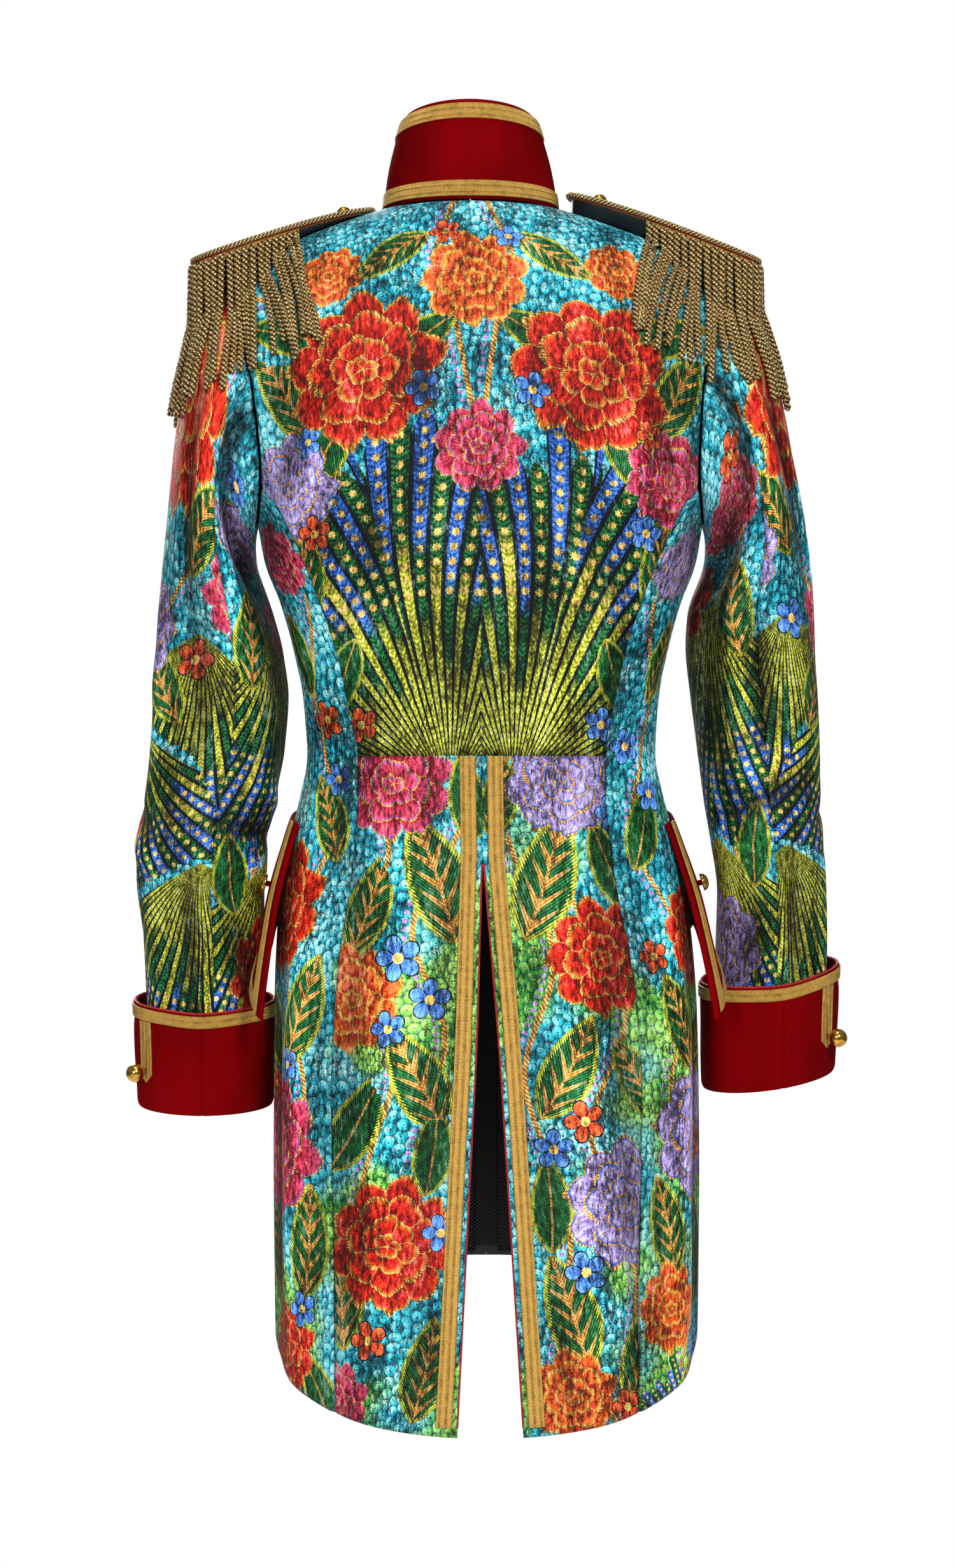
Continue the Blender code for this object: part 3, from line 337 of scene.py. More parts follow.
def lengths(path):
    # Distance travelled at each point of a path.
    return np.concatenate([[0], np.cumsum(np.linalg.norm(np.diff(path, axis=0), axis=1))])


def cutOf(grid, column=0, row=0, start=(0.0, 0.0)):
    # Place of each point on the flat cut: distance across from a column and up from a row.
    across, down = runAlong(grid, 1), runAlong(grid, 0)
    return np.stack([start[0] + across - across[:, column:column + 1], start[1] - down + down[row:row + 1]],
                    axis=-1)


def edgeRoll(grid, seams=(1, 1, 1, 1)):
    # How far the cloth rolls under at its edges: left, right, top, bottom; 1 a seam, 0.5 a turned edge.
    across, down = runAlong(grid, 1), runAlong(grid, 0)
    roll = np.zeros(grid.shape[:2])
    for share, away in zip(seams, (across, across[:, -1:] - across, down, down[-1:] - down)):
        roll -= share * (1.15 * np.exp(-(away / 1.5) ** 2) + 0.4 * np.exp(-(away / 5.0) ** 2))
    return roll


# Meshes

def addPiece(name, points, faces, finishes, node=None, maps=None, faceValues=None, slots=None):
    # A mesh from arrays in millimetres, with its maps in metres, riding with the coat.
    mesh = bpy.data.meshes.new(name)
    mesh.from_pydata((np.asarray(points) * mm).tolist(), [], faces if isinstance(faces, list)
                     else faces.tolist())
    for finish in finishes:
        mesh.materials.append(finish)
    corners = np.zeros(len(mesh.loops), int)
    mesh.loops.foreach_get("vertex_index", corners)
    for label, (values, perCorner) in (maps or {}).items():
        layer = mesh.uv_layers.new(name=label)
        layer.data.foreach_set("uv", (values if perCorner else values[corners]).astype(np.float32).ravel())
    for label, values in (faceValues or {}).items():
        mesh.attributes.new(label, "FLOAT", "FACE").data.foreach_set("value", values.astype(np.float32))
    if slots is not None:
        mesh.polygons.foreach_set("material_index", slots.astype(np.int32))
    mesh.polygons.foreach_set("use_smooth", np.full(len(mesh.polygons), True))
    piece = bpy.data.objects.new(name, mesh)
    bpy.context.scene.collection.objects.link(piece)
    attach(piece, "root")
    if node:
        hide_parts(*([node] if isinstance(node, str) else node))
    return piece


def gridFaces(rows, columns, ringRows=False, ringColumns=False):
    # Corner numbers of a grid's cells; a ring closes on itself.
    index = np.arange(rows * columns).reshape(rows, columns)
    if ringColumns:
        index = np.concatenate([index, index[:, :1]], axis=1)
    if ringRows:
        index = np.concatenate([index, index[:1]], axis=0)
    return np.stack([index[:-1, :-1], index[:-1, 1:], index[1:, 1:], index[1:, :-1]], axis=-1).reshape(-1, 4)


def tubeFaces(rows, columns, closed=False):
    # Faces of a tube's grid of points, with a cap at each open end.
    faces = gridFaces(rows, columns, ringRows=closed, ringColumns=True).tolist()
    if not closed:
        faces += [list(range(columns))[::-1], list(range((rows - 1) * columns, rows * columns))]
    return faces


def rimFaces(faces, count):
    # Faces from the border of a sheet to the same border of its copy, whose points come count later.
    edges = np.stack([faces, np.roll(faces, -1, axis=1)], axis=-1).reshape(-1, 2)
    code, back = edges[:, 0] * count + edges[:, 1], edges[:, 1] * count + edges[:, 0]
    border = edges[~np.isin(back, code)]
    return np.stack([border[:, 1], border[:, 0], border[:, 0] + count, border[:, 1] + count], axis=-1)


def clothShell(name, grid, out, thick, finishes, cut, node=None, ring=False, layers=None,
               lip=None, height=None):
    # A closed wall of cloth: the grid outside, the same grid moved in by its thickness inside, and a rim.
    rows, columns = grid.shape[:2]
    faces = gridFaces(rows, columns, ringColumns=ring)
    points, away = grid.reshape(-1, 3), out.reshape(-1, 3)
    a, b, c = (points[faces[:, i]] for i in (0, 1, 2))
    if np.sum(np.cross(b - a, c - a) * away[faces[:, 0]]) < 0:
        faces = faces[:, ::-1]
    inner = (lip if lip is not None else grid - out * thick).reshape(-1, 3)
    rim = rimFaces(faces, len(points))
    solid = np.concatenate([faces, faces[:, ::-1] + len(points), rim])
    slots = np.concatenate([np.zeros(len(faces)), np.ones(len(faces)), np.zeros(len(rim))])
    flat = np.tile(cut.reshape(-1, 2) * mm, (2, 1))
    maps, values = {"cut": (flat, False)}, {}
    if layers is not None:
        middle, corners = cut.reshape(-1, 2)[faces].mean(axis=1), cut.reshape(-1, 2)[solid % len(points)]
        for label in ("bloom", "palm", "leaf", "small"):
            place, tint = motifPlaces(middle, corners, layers.get(label, []), len(solid), label == "palm")
            maps[label], values[label + "Tint"] = (place, True), tint
        # The nap map holds each point's fold and edge-roll height; the print turns it into painted shade in
        # hollows and painted light on crests.
        maps["nap"] = (np.tile(stack(height, 0 * height, 0)[..., :2].reshape(-1, 2), (2, 1)), False)
        maps["tendril"] = (tendrilPlaces(middle, corners, layers.get("tendril", [])), True)
    if len(finishes) < 2:
        slots[:] = 0
    piece = addPiece(name, np.concatenate([points, inner]), solid, finishes, node, maps, values, slots)
    size = np.ptp(cut.reshape(-1, 2), axis=0) * mm
    a, b, c, d = (points[faces[:, i]] for i in range(4))
    area = 0.5 * (np.linalg.norm(np.cross(b - a, c - a), axis=1).sum()
                  + np.linalg.norm(np.cross(c - a, d - a), axis=1).sum()) * mm * mm
    area = min(area, size[0] * size[1])
    return piece


def motifPlaces(middle, corners, motifs, total, fan):
    # Each face takes the motif it lies deepest in; its corners get places in that motif, 1 at its rim.
    # A fan counts only ahead of its foot, within 60 degrees, so that one can stand in front of another.
    place = np.full((total, 4, 2), 9.0)
    tint = np.zeros(total)
    best = np.full(len(middle), 1.25)
    for x, y, size, turn, kind in motifs:
        c, s = math.cos(math.radians(turn)), math.sin(math.radians(turn))
        away = np.linalg.norm(middle - (x, y), axis=1) / size
        chosen = away < best
        if fan:
            chosen &= ((middle - (x, y)) @ (-s, c)) / size > 0.5 * away - 0.025
        chosen = np.flatnonzero(chosen)
        best[chosen] = away[chosen]
        u, v = np.moveaxis((corners[chosen] - (x, y)) / size, -1, 0)
        place[chosen] = np.stack([u * c + v * s, v * c - u * s], axis=-1)
        tint[chosen] = kind
    return place.reshape(-1, 2), tint


def tendrilPlaces(middle, corners, lines):
    # Each face near a drawn line gets places in metres: how far along it, and how far to its side.
    place = np.full(corners.shape, 9.0)
    reach = 14.0
    best = np.full(len(middle), reach)
    for line in lines:
        line = np.array(line, float)
        at = np.linspace(0, len(line) - 1, 40 * len(line))
        path = np.stack([smooth(np.arange(len(line)), line[:, i], at) for i in (0, 1)], axis=-1)
        run = lengths(path)
        ahead = np.gradient(path, axis=0)
        ahead /= np.linalg.norm(ahead, axis=1, keepdims=True)
        inside = (middle > path.min(axis=0) - reach) & (middle < path.max(axis=0) + reach)
        near = np.flatnonzero(inside.all(axis=1))
        gaps = np.linalg.norm(middle[near, None] - path[None], axis=-1)
        nearest = gaps.argmin(axis=1)
        closer = gaps.min(axis=1) < best[near]
        near, nearest, gaps = near[closer], nearest[closer], gaps.min(axis=1)[closer]
        best[near] = gaps
        away = corners[near] - path[nearest][:, None]
        along = run[nearest][:, None] + np.einsum("ijk,ik->ij", away, ahead[nearest])
        side = away[..., 1] * ahead[nearest][:, None, 0] - away[..., 0] * ahead[nearest][:, None, 1]
        place[near] = np.stack([along, side], axis=-1) * mm
    return place.reshape(-1, 2)


# Materials: every colour is an sRGB hex value, turned to linear here

def linear(hexColour):
    # A value is divided by 12.92 where dark, and otherwise ((value + 0.055) / 1.055)^2.4.
    values = np.array([int(hexColour[i:i + 2], 16) / 255 for i in (1, 3, 5)])
    return (*np.where(values <= 0.04045, values / 12.92, ((values + 0.055) / 1.055) ** 2.4), 1.0)


def node(tree, kind, settings, *links):
    # Adds a node. A text setting is its operation; links fill its shown inputs in order, None skipping one.
    made = tree.nodes.new("ShaderNode" + kind)
    for label, value in ({"operation": settings} if isinstance(settings, str) else settings).items():
        setattr(made, label, value)
    for socket, value in zip([s for s in made.inputs if s.enabled], links):
        if isinstance(value, bpy.types.Node):
            value = next(s for s in value.outputs if s.enabled)
        if isinstance(value, bpy.types.NodeSocket):
            tree.links.new(value, socket)
        elif value is not None:
            socket.default_value = linear(value) if isinstance(value, str) else value
    return made


def newFinish(name, **sockets):
    # A Principled material with plain numbers on its own sockets, and the node function bound to its tree.
    made = bpy.data.materials.new(name)
    made.use_nodes = True
    shader = made.node_tree.nodes["Principled BSDF"]
    for label, value in sockets.items():
        socket = shader.inputs[label.replace("_", " ")]
        socket.default_value = linear(value) if isinstance(value, str) else value
    return made, shader, partial(node, made.node_tree)


def connect(made, shader, colour=None, height=None, distance=0.0004, rough=None):
    # Joins a colour, a height in metres through Bump, and a roughness to the shader.
    links = made.node_tree.links
    if colour is not None:
        links.new(next(s for s in colour.outputs if s.enabled), shader.inputs["Base Color"])
    if rough is not None:
        links.new(rough.outputs[0], shader.inputs["Roughness"])
    if height is not None:
        relief = node(made.node_tree, "Bump", {}, 1.0, distance)
        links.new(next(s for s in height.outputs if s.enabled), relief.inputs["Height"])
        links.new(relief.outputs["Normal"], shader.inputs["Normal"])


rgba, flat2d, clamped = {"data_type": "RGBA"}, {"noise_dimensions": "2D"}, {"clamp": True}


# The print: sequins, stitched flowers, leaves and palm fans, drawn on the cut in its real size

sequinWide = 8.8
inks = {
    "sequinPale": "#a4ecf0", "sequin": "#22b4ca", "sequinDeep": "#056a7e", "sequinLine": "#063844",
    "meadow": "#359a34", "meadowPale": "#a2dc66", "outline": "#9c5a10", "outlinePale": "#e2b45c",
    "lime": "#7f8812", "limePale": "#cfd043", "darkGreen": "#05291a", "green": "#1c7a34",
    "blue": "#123f9c", "bluePale": "#3f7fdc", "night": "#061420", "gold": "#dfbb5e", "lilacThread": "#a98bc4"}
bloomColours = [  # petal, petal tip, thread beside the outline
    ("#a00705", "#ea3418", "#c8631f"), ("#a50f34", "#ee5676", "#b457a6"), ("#7463a6", "#c8b6dc", "#1f5cc4"),
    ("#b3260a", "#f37a2a", "#e0a03c")]
petalRings = [(1.0, 9, 0.0, 0.62), (0.72, 7, 0.8, 0.40), (0.44, 6, 0.3, 0.16), (0.20, 5, 0.0, 0.0)]
smallColours = [("#1c55bd", "#6aa6f0"), ("#c3200f", "#f5703a")]


def sequinGround(n, cut):
    # Touching discs in staggered rows: the nearer of two grids of middles, a thin line at each rim.
    spot = n("VectorMath", "SCALE", cut, 1000 / sequinWide)
    spot = n("VectorRotate", {"rotation_type": "Z_AXIS"}, spot, None, 0.42)
    wander = n("TexNoise", flat2d, spot, 0.13, 1.0, 0.5)
    spot = n("VectorMath", "ADD", spot, n("VectorMath", "SCALE", wander.outputs["Color"], 1.9))
    spot = n("VectorMath", "MULTIPLY", spot, (1, 1, 0))
    half, turned = (0.5, 0.866, 0.5), (-0.5, -0.866, -0.5)
    beside = n("VectorMath", "ADD", spot, (0.5, 0.866, 0))
    grids = [n("VectorMath", "WRAP", place, half, turned) for place in (spot, beside)]
    away = [n("VectorMath", "LENGTH", grid) for grid in grids]
    inside = n("Mix", {"data_type": "VECTOR"}, n("Math", "LESS_THAN", *away), grids[1], grids[0])
    away = n("Math", "MINIMUM", *away)
    middle = n("VectorMath", "ADD", n("VectorMath", "SUBTRACT", spot, inside), (0.12, 0.2, 0))
    chance = n("TexWhiteNoise", flat2d, n("VectorMath", "SNAP", middle, (0.25, 0.433, 1)))
    tilt = n("Math", "MULTIPLY_ADD", n("Math", "SUBTRACT", chance, 0.5), 2.6, 0.9)
    turn = n("CombineXYZ", {}, n("Math", "COSINE", tilt), n("Math", "SINE", tilt))
    shine = n("VectorMath", "DOT_PRODUCT", inside, turn)
    tone = n("Math", "MULTIPLY_ADD", chance, 0.26, n("Math", "MULTIPLY_ADD", shine, 1.05, 0.26))
    cloud = n("TexNoise", flat2d, cut, 21.0, 3.0, 0.6)
    tone = n("Math", "ADD", tone, n("MapRange", clamped, cloud, 0.36, 0.66, -0.35, 0.42))
    ring = n("Math", "COMPARE", away, 0.15, 0.035)
    tone = n("Math", "MULTIPLY_ADD", ring, 0.35, tone)
    colour = n("Mix", rgba, n("MapRange", clamped, tone, -0.20, 0.38), inks["sequinDeep"], inks["sequin"])
    colour = n("Mix", rgba, n("MapRange", clamped, tone, 0.38, 1.0, 0.0, 0.95), colour, inks["sequinPale"])
    patch = n("TexNoise", flat2d, n("VectorMath", "ADD", cut, (3.7, 1.9, 0)), 8.0, 2.0, 0.5)
    low = n("MapRange", clamped, n("SeparateXYZ", {}, cut).outputs[1], -0.42, -0.50)
    patch = n("Math", "MULTIPLY", n("MapRange", clamped, patch, 0.49, 0.57), low)
    green = n("Mix", rgba, n("MapRange", clamped, tone, -0.1, 0.8), inks["meadow"], inks["meadowPale"])
    colour = n("Mix", rgba, patch, colour, green)
    line = n("MapRange", clamped, away, 0.435, 0.50, 0.0, 0.8)
    hole = n("MapRange", clamped, away, 0.06, 0.10, 0.75, 0.0)
    return n("Mix", rgba, n("Math", "MAXIMUM", line, hole), colour, inks["sequinLine"])


def bloom(n, under):
    # Four rings of petals. A ring's edge is size * (0.76 + 0.24 * |cos(count / 2 * angle + turn)|^0.45).
    place = n("UVMap", {"uv_map": "bloom"})
    tint = n("Attribute", {"attribute_name": "bloomTint"}).outputs["Fac"]
    x, y = n("SeparateXYZ", {}, place).outputs[:2]
    angle, away = n("Math", "ARCTAN2", y, x), n("VectorMath", "LENGTH", place)
    wobble = n("TexNoise", flat2d, place, 2.3, 2.0, 0.5)
    away = n("Math", "MULTIPLY_ADD", n("Math", "SUBTRACT", wobble, 0.5), 0.30, away)
    threads = n("CombineXYZ", {}, n("Math", "MULTIPLY", angle, 16.0), n("Math", "MULTIPLY", away, 5.0))
    threads = n("TexNoise", flat2d, threads, 1.0, 3.0, 0.6)
    picks = [n("Math", "COMPARE", tint, number, 0.4) for number in (1.0, 2.0, 3.0)]
    shades = []
    for part in range(3):
        shade = n("Mix", rgba, 0.0, bloomColours[0][part], bloomColours[0][part])
        for pick, row in zip(picks, bloomColours[1:]):
            shade = n("Mix", rgba, pick, shade, row[part])
        shades.append(shade)
    for size, count, turn, inner in petalRings:
        wave = n("Math", "ABSOLUTE", n("Math", "COSINE", n("Math", "MULTIPLY_ADD", angle, count / 2, turn)))
        edge = n("Math", "MULTIPLY_ADD", n("Math", "POWER", wave, 0.45), 0.24 * size, 0.76 * size)
        depth = n("Math", "SUBTRACT", edge, away)
        between = n("Math", "MULTIPLY", wave, away)
        shape = n("Math", "GREATER_THAN", depth, 0.0)
        glow = n("Math", "MULTIPLY_ADD", n("Math", "SUBTRACT", threads, 0.5), 1.5,
                 n("MapRange", clamped, away, inner, size, 0.05, 0.85))
        fill = n("Mix", rgba, n("MapRange", clamped, glow, 0.1, 0.9), shades[0], shades[1])
        fill = n("Mix", rgba, n("MapRange", clamped, depth, 0.055, 0.085, 0.9, 0.0), fill, shades[2])
        parting = n("Math", "LESS_THAN", between, 0.010 + 0.022 * size)
        rim = n("Math", "MAXIMUM", n("Math", "LESS_THAN", depth, 0.036), parting)
        grain = n("Math", "SINE", n("Math", "MULTIPLY", n("Math", "ADD", angle, away), 90.0))
        cord = n("Mix", rgba, n("MapRange", clamped, grain, -0.6, 0.6), inks["outline"], inks["outlinePale"])
        under = n("Mix", rgba, shape, under, n("Mix", rgba, rim, fill, cord))
    return under


def palm(n, under):
    # A fan of fronds from one point: lime ribs, then dark green, then blue ends with gold dots.
    place = n("UVMap", {"uv_map": "palm"})
    x, y = n("SeparateXYZ", {}, place).outputs[:2]
    away = n("VectorMath", "LENGTH", place)
    angle = n("Math", "ARCTAN2", x, y)
    sway = n("Math", "MULTIPLY", n("Math", "SINE", n("Math", "MULTIPLY", away, 4.0)), 0.05)
    steps = n("Math", "MULTIPLY", n("Math", "MULTIPLY_ADD", n("Math", "SIGN", x), sway, angle), 1 / 0.07)
    rib, number = n("Math", "SUBTRACT", n("Math", "FRACT", steps), 0.5), n("Math", "FLOOR", steps)
    chance = n("TexWhiteNoise", {"noise_dimensions": "1D"}, number)
    wide = n("Math", "MULTIPLY", n("Math", "ABSOLUTE", rib), 2.0)
    reach = n("Math", "MULTIPLY_ADD", chance, -0.16, 1.0)
    tipped = n("Math", "SUBTRACT", reach, n("Math", "MULTIPLY", n("Math", "POWER", wide, 2.0), 0.05))
    shape = n("Math", "MULTIPLY", n("Math", "LESS_THAN", away, tipped),
              n("Math", "LESS_THAN", n("Math", "ABSOLUTE", angle), 1.02))
    slant = n("Math", "SUBTRACT", away, n("Math", "MULTIPLY", wide, 0.014))
    barbs = n("Math", "SINE", n("Math", "MULTIPLY", slant, 420.0))
    thread = n("TexNoise", flat2d, n("VectorMath", "MULTIPLY", place, (60.0, 160.0, 0)), 1.0, 2.0, 0.6)
    grain = n("Math", "MULTIPLY_ADD", thread, 1.2, n("Math", "MULTIPLY", barbs, 0.4))
    grain = n("MapRange", clamped, grain, 0.2, 1.0)
    shift = n("Math", "MULTIPLY_ADD", chance, 0.22, away)
    limeRib = n("Mix", rgba, grain, inks["lime"], inks["limePale"])
    greenRib = n("Mix", rgba, grain, inks["darkGreen"], inks["green"])
    blueRib = n("Mix", rgba, grain, inks["blue"], inks["bluePale"])
    odd = n("Math", "PINGPONG", number, 1.0)
    halfway, ends = n("Mix", rgba, odd, limeRib, greenRib), n("Mix", rgba, odd, greenRib, blueRib)
    far = n("Mix", rgba, n("MapRange", clamped, shift, 0.62, 0.68), halfway, ends)
    colour = n("Mix", rgba, n("MapRange", clamped, shift, 0.40, 0.46), limeRib, far)
    gap = n("Math", "GREATER_THAN", wide, n("MapRange", clamped, away, 0.15, 0.9, 0.62, 0.80))
    colour = n("Mix", rgba, gap, colour, inks["night"])
    ladder = n("Math", "SUBTRACT", n("Math", "FRACT", n("Math", "MULTIPLY", away, 26.0)), 0.5)
    side = n("Math", "MULTIPLY", n("Math", "MULTIPLY", rib, away), 0.07 * 26.0)
    dot = n("VectorMath", "LENGTH", n("CombineXYZ", {}, ladder, side))
    spoke = n("Math", "COSINE", n("Math", "MULTIPLY", n("Math", "ARCTAN2", ladder, side), 8.0))
    dot = n("Math", "LESS_THAN", dot, n("Math", "MULTIPLY_ADD", spoke, 0.05, 0.26))
    dot = n("Math", "MULTIPLY", dot, n("Math", "GREATER_THAN", away, 0.50))
    colour = n("Mix", rgba, dot, colour, inks["gold"])
    return n("Mix", rgba, shape, under, colour)


def leaf(n, under):
    # A leaf along x from -1 to 1: half width (0.44 - 0.1 x) * (1 - x^2)^0.8, tan veins, stitched lime edge.
    place = n("UVMap", {"uv_map": "leaf"})
    tint = n("Attribute", {"attribute_name": "leafTint"}).outputs["Fac"]
    x, y = n("SeparateXYZ", {}, place).outputs[:2]
    body = n("Math", "SUBTRACT", 1.0, n("Math", "MULTIPLY", x, x))
    half = n("Math", "MULTIPLY", n("Math", "POWER", n("Math", "MAXIMUM", body, 0.0), 0.8),
             n("Math", "MULTIPLY_ADD", x, -0.10, 0.44))
    wide = n("Math", "ABSOLUTE", n("Math", "MULTIPLY_ADD", n("Math", "MULTIPLY", body, -1.0), 0.05, y))
    depth = n("Math", "SUBTRACT", half, wide)
    shape = n("Math", "MULTIPLY", n("Math", "GREATER_THAN", depth, 0.0),
              n("Math", "LESS_THAN", n("Math", "ABSOLUTE", x), 1.0))
    thread = n("TexNoise", flat2d, n("VectorMath", "MULTIPLY", place, (14.0, 70.0, 0)), 1.0, 2.0, 0.6)
    slant = n("Math", "SUBTRACT", x, n("Math", "MULTIPLY", wide, 1.3))
    hatch = n("Math", "SINE", n("Math", "MULTIPLY", slant, 95.0))
    grain = n("MapRange", clamped, n("Math", "MULTIPLY_ADD", hatch, 0.25, thread), 0.3, 0.8)
    colour = n("Mix", rgba, grain, inks["darkGreen"], inks["green"])
    lime = n("Mix", rgba, grain, inks["lime"], inks["limePale"])
    edge = n("Math", "LESS_THAN", depth, n("Math", "MULTIPLY_ADD", hatch, 0.02, 0.075))
    colour = n("Mix", rgba, n("Math", "MULTIPLY", edge, n("Math", "LESS_THAN", tint, 1.5)), colour, lime)
    vein = n("Math", "SUBTRACT", n("Math", "FRACT", n("Math", "MULTIPLY", slant, 3.1)), 0.5)
    fat = n("MapRange", clamped, wide, 0.0, 0.30, 0.30, 0.02)
    vein = n("Math", "MULTIPLY", n("Math", "LESS_THAN", n("Math", "ABSOLUTE", vein), fat),
             n("Math", "GREATER_THAN", depth, 0.11))
    vein = n("Math", "MAXIMUM", n("Math", "MULTIPLY", vein, n("Math", "GREATER_THAN", tint, 0.5)),
             n("Math", "LESS_THAN", wide, 0.022))
    tan = n("Mix", rgba, grain, inks["outline"], inks["outlinePale"])
    colour = n("Mix", rgba, vein, colour, tan)
    return n("Mix", rgba, shape, under, colour)


def smallFlower(n, under):
    # Five round petals: edge at 0.42 + 0.55 * |cos(2.5 * angle)|^0.6, and a gold eye.
    place = n("UVMap", {"uv_map": "small"})
    tint = n("Attribute", {"attribute_name": "smallTint"}).outputs["Fac"]
    x, y = n("SeparateXYZ", {}, place).outputs[:2]
    angle, away = n("Math", "ARCTAN2", y, x), n("VectorMath", "LENGTH", place)
    wave = n("Math", "ABSOLUTE", n("Math", "COSINE", n("Math", "MULTIPLY", angle, 2.5)))
    depth = n("Math", "SUBTRACT", n("Math", "MULTIPLY_ADD", n("Math", "POWER", wave, 0.6), 0.55, 0.42), away)
    thread = n("CombineXYZ", {}, n("Math", "MULTIPLY", angle, 7.0), away)
    thread = n("TexNoise", flat2d, thread, 1.6, 2.0, 0.6)
    glow = n("Math", "ADD", n("Math", "MULTIPLY", n("Math", "SUBTRACT", thread, 0.5), 1.6), away)
    shades = [n("Mix", rgba, tint, smallColours[0][part], smallColours[1][part]) for part in (0, 1)]
    colour = n("Mix", rgba, n("MapRange", clamped, glow, 0.2, 0.9), *shades)
    parting = n("Math", "LESS_THAN", n("Math", "MULTIPLY", wave, away), 0.10)
    colour = n("Mix", rgba, parting, colour, inks["night"])
    colour = n("Mix", rgba, n("Math", "LESS_THAN", depth, 0.07), colour, inks["night"])
    colour = n("Mix", rgba, n("Math", "LESS_THAN", away, 0.22), colour, inks["gold"])
    return n("Mix", rgba, n("Math", "GREATER_THAN", depth, 0.0), under, colour)


def tendril(n, under):
    # Tan cord along the drawn lines, 4 mm wide, with a row of lilac stitches beside it.
    run, side = n("SeparateXYZ", {}, n("UVMap", {"uv_map": "tendril"})).outputs[:2]
    twist = n("Math", "SINE", n("Math", "MULTIPLY_ADD", run, 1900.0, n("Math", "MULTIPLY", side, 1500.0)))
    tan = n("Mix", rgba, n("MapRange", clamped, twist, -0.7, 0.7), inks["outline"], inks["outlinePale"])
    rung = n("Math", "GREATER_THAN", n("Math", "SINE", n("Math", "MULTIPLY", run, 1100.0)), -0.1)
    band = n("Math", "COMPARE", side, 0.0062, 0.0019)
    under = n("Mix", rgba, n("Math", "MULTIPLY", rung, band), under, inks["lilacThread"])
    return n("Mix", rgba, n("Math", "LESS_THAN", n("Math", "ABSOLUTE", side), 0.0021), under, tan)


def makePrintedVelvet():
    # Stretch velvet: short pile, printed. The pile gives a soft sheen; blurred, streaked highlights and the
    # shade of folds are painted into its colour.
    made, shader, n = newFinish("printedVelvet", Roughness=0.4, Sheen_Weight=0.02, Sheen_Roughness=0.35,
                                Sheen_Tint="#dff6f4", Specular_IOR_Level=0.2)
    cut = n("UVMap", {"uv_map": "cut"})
    colour = sequinGround(n, cut)
    for layer in (tendril, palm, leaf, bloom, smallFlower):
        colour = layer(n, colour)
    pile = n("TexNoise", flat2d, cut, 900.0, 2.0, 0.6)  # nap clumps about 1 mm across
    nap = n("TexNoise", flat2d, n("VectorMath", "MULTIPLY", cut, (330.0, 120.0, 0)), 1.0, 3.0, 0.65)
    broad = n("TexNoise", flat2d, n("VectorMath", "MULTIPLY", cut, (34.0, 11.0, 0)), 1.0, 2.0, 0.55)
    mixed = n("Math", "MULTIPLY_ADD", pile, 0.22, n("Math", "MULTIPLY", broad, 0.34))
    mixed = n("Math", "MULTIPLY_ADD", nap, 0.50, mixed)
    # The pile's own mottling, stretched into painted light: its brightest streaks are painted highlights, its
    # darkest painted shade.
    shade = n("MapRange", clamped, mixed, 0.45, 0.63, 0.16, 2.2)
    foldShade = n("SeparateXYZ", {}, n("UVMap", {"uv_map": "nap"}))  # painted shade in a fold's hollow and at rolled seams, painted light on its crest
    shade = n("Math", "MULTIPLY", shade, n("MapRange", clamped, foldShade, -3.6, 3.0, 0.16, 1.46))
    shade = n("CombineColor", {}, shade, shade, shade)
    colour = n("Mix", {"data_type": "RGBA", "blend_type": "MULTIPLY"}, 1.0, colour, shade)
    # Painted highlight: where the pile's streaks are brightest the colour pales towards white.
    colour = n("Mix", rgba, n("MapRange", clamped, mixed, 0.60, 0.70, 0.0, 0.26), colour, "#dff4f2")
    height = n("Math", "MULTIPLY_ADD", nap, 0.8, n("Math", "MULTIPLY", pile, 0.4))
    connect(made, shader, colour, height, 0.0016, n("MapRange", clamped, nap, 0.35, 0.65, 0.30, 0.55))
    return made


def makeRedVelvet():
    # Cotton velvet, cut pile: deep where seen square on, paler at a grazing angle, with brushed patches.
    made, shader, n = newFinish("redVelvet", Roughness=0.9, Sheen_Weight=0.05, Sheen_Roughness=0.35,
                                Sheen_Tint="#ff1a10", Specular_IOR_Level=0.03)
    place = n("TexCoord", {}).outputs["Object"]
    brushed = n("TexNoise", {}, n("VectorMath", "MULTIPLY", place, (9.0, 9.0, 5.0)), 1.0, 3.0, 0.55)
    pile = n("TexNoise", {}, place, 1500.0, 2.0, 0.6)
    tone = n("MapRange", clamped, n("Math", "MULTIPLY_ADD", pile, 0.25, brushed), 0.42, 0.80)
    connect(made, shader, n("Mix", rgba, tone, "#520003", "#8c0106"), pile, 0.0004)
    return made


def makeLining():
    # Black satin-weave lining: fine diagonal ribs, a dull shine.
    made, shader, n = newFinish("blackSatinLining", Roughness=0.42, Specular_IOR_Level=0.4)
    place = n("TexCoord", {}).outputs["Object"]
    ribs = n("Math", "SINE", n("VectorMath", "DOT_PRODUCT", place, (2200.0, 2200.0, 2200.0)))
    blotch = n("MapRange", clamped, n("TexNoise", {}, place, 14.0, 2.0, 0.5), 0.3, 0.7)
    connect(made, shader, n("Mix", rgba, blotch, "#0b0b0d", "#18181c"), ribs, 0.00012)
    return made


printedVelvet, redVelvet, lining = makePrintedVelvet(), makeRedVelvet(), makeLining()
print("velvets mixed")


# Body panels, each cut with its own piece of the print
# bloom, palm, leaf and small rows: x, y, size, turn, kind; fold rows: x, y, x, y, width, depth

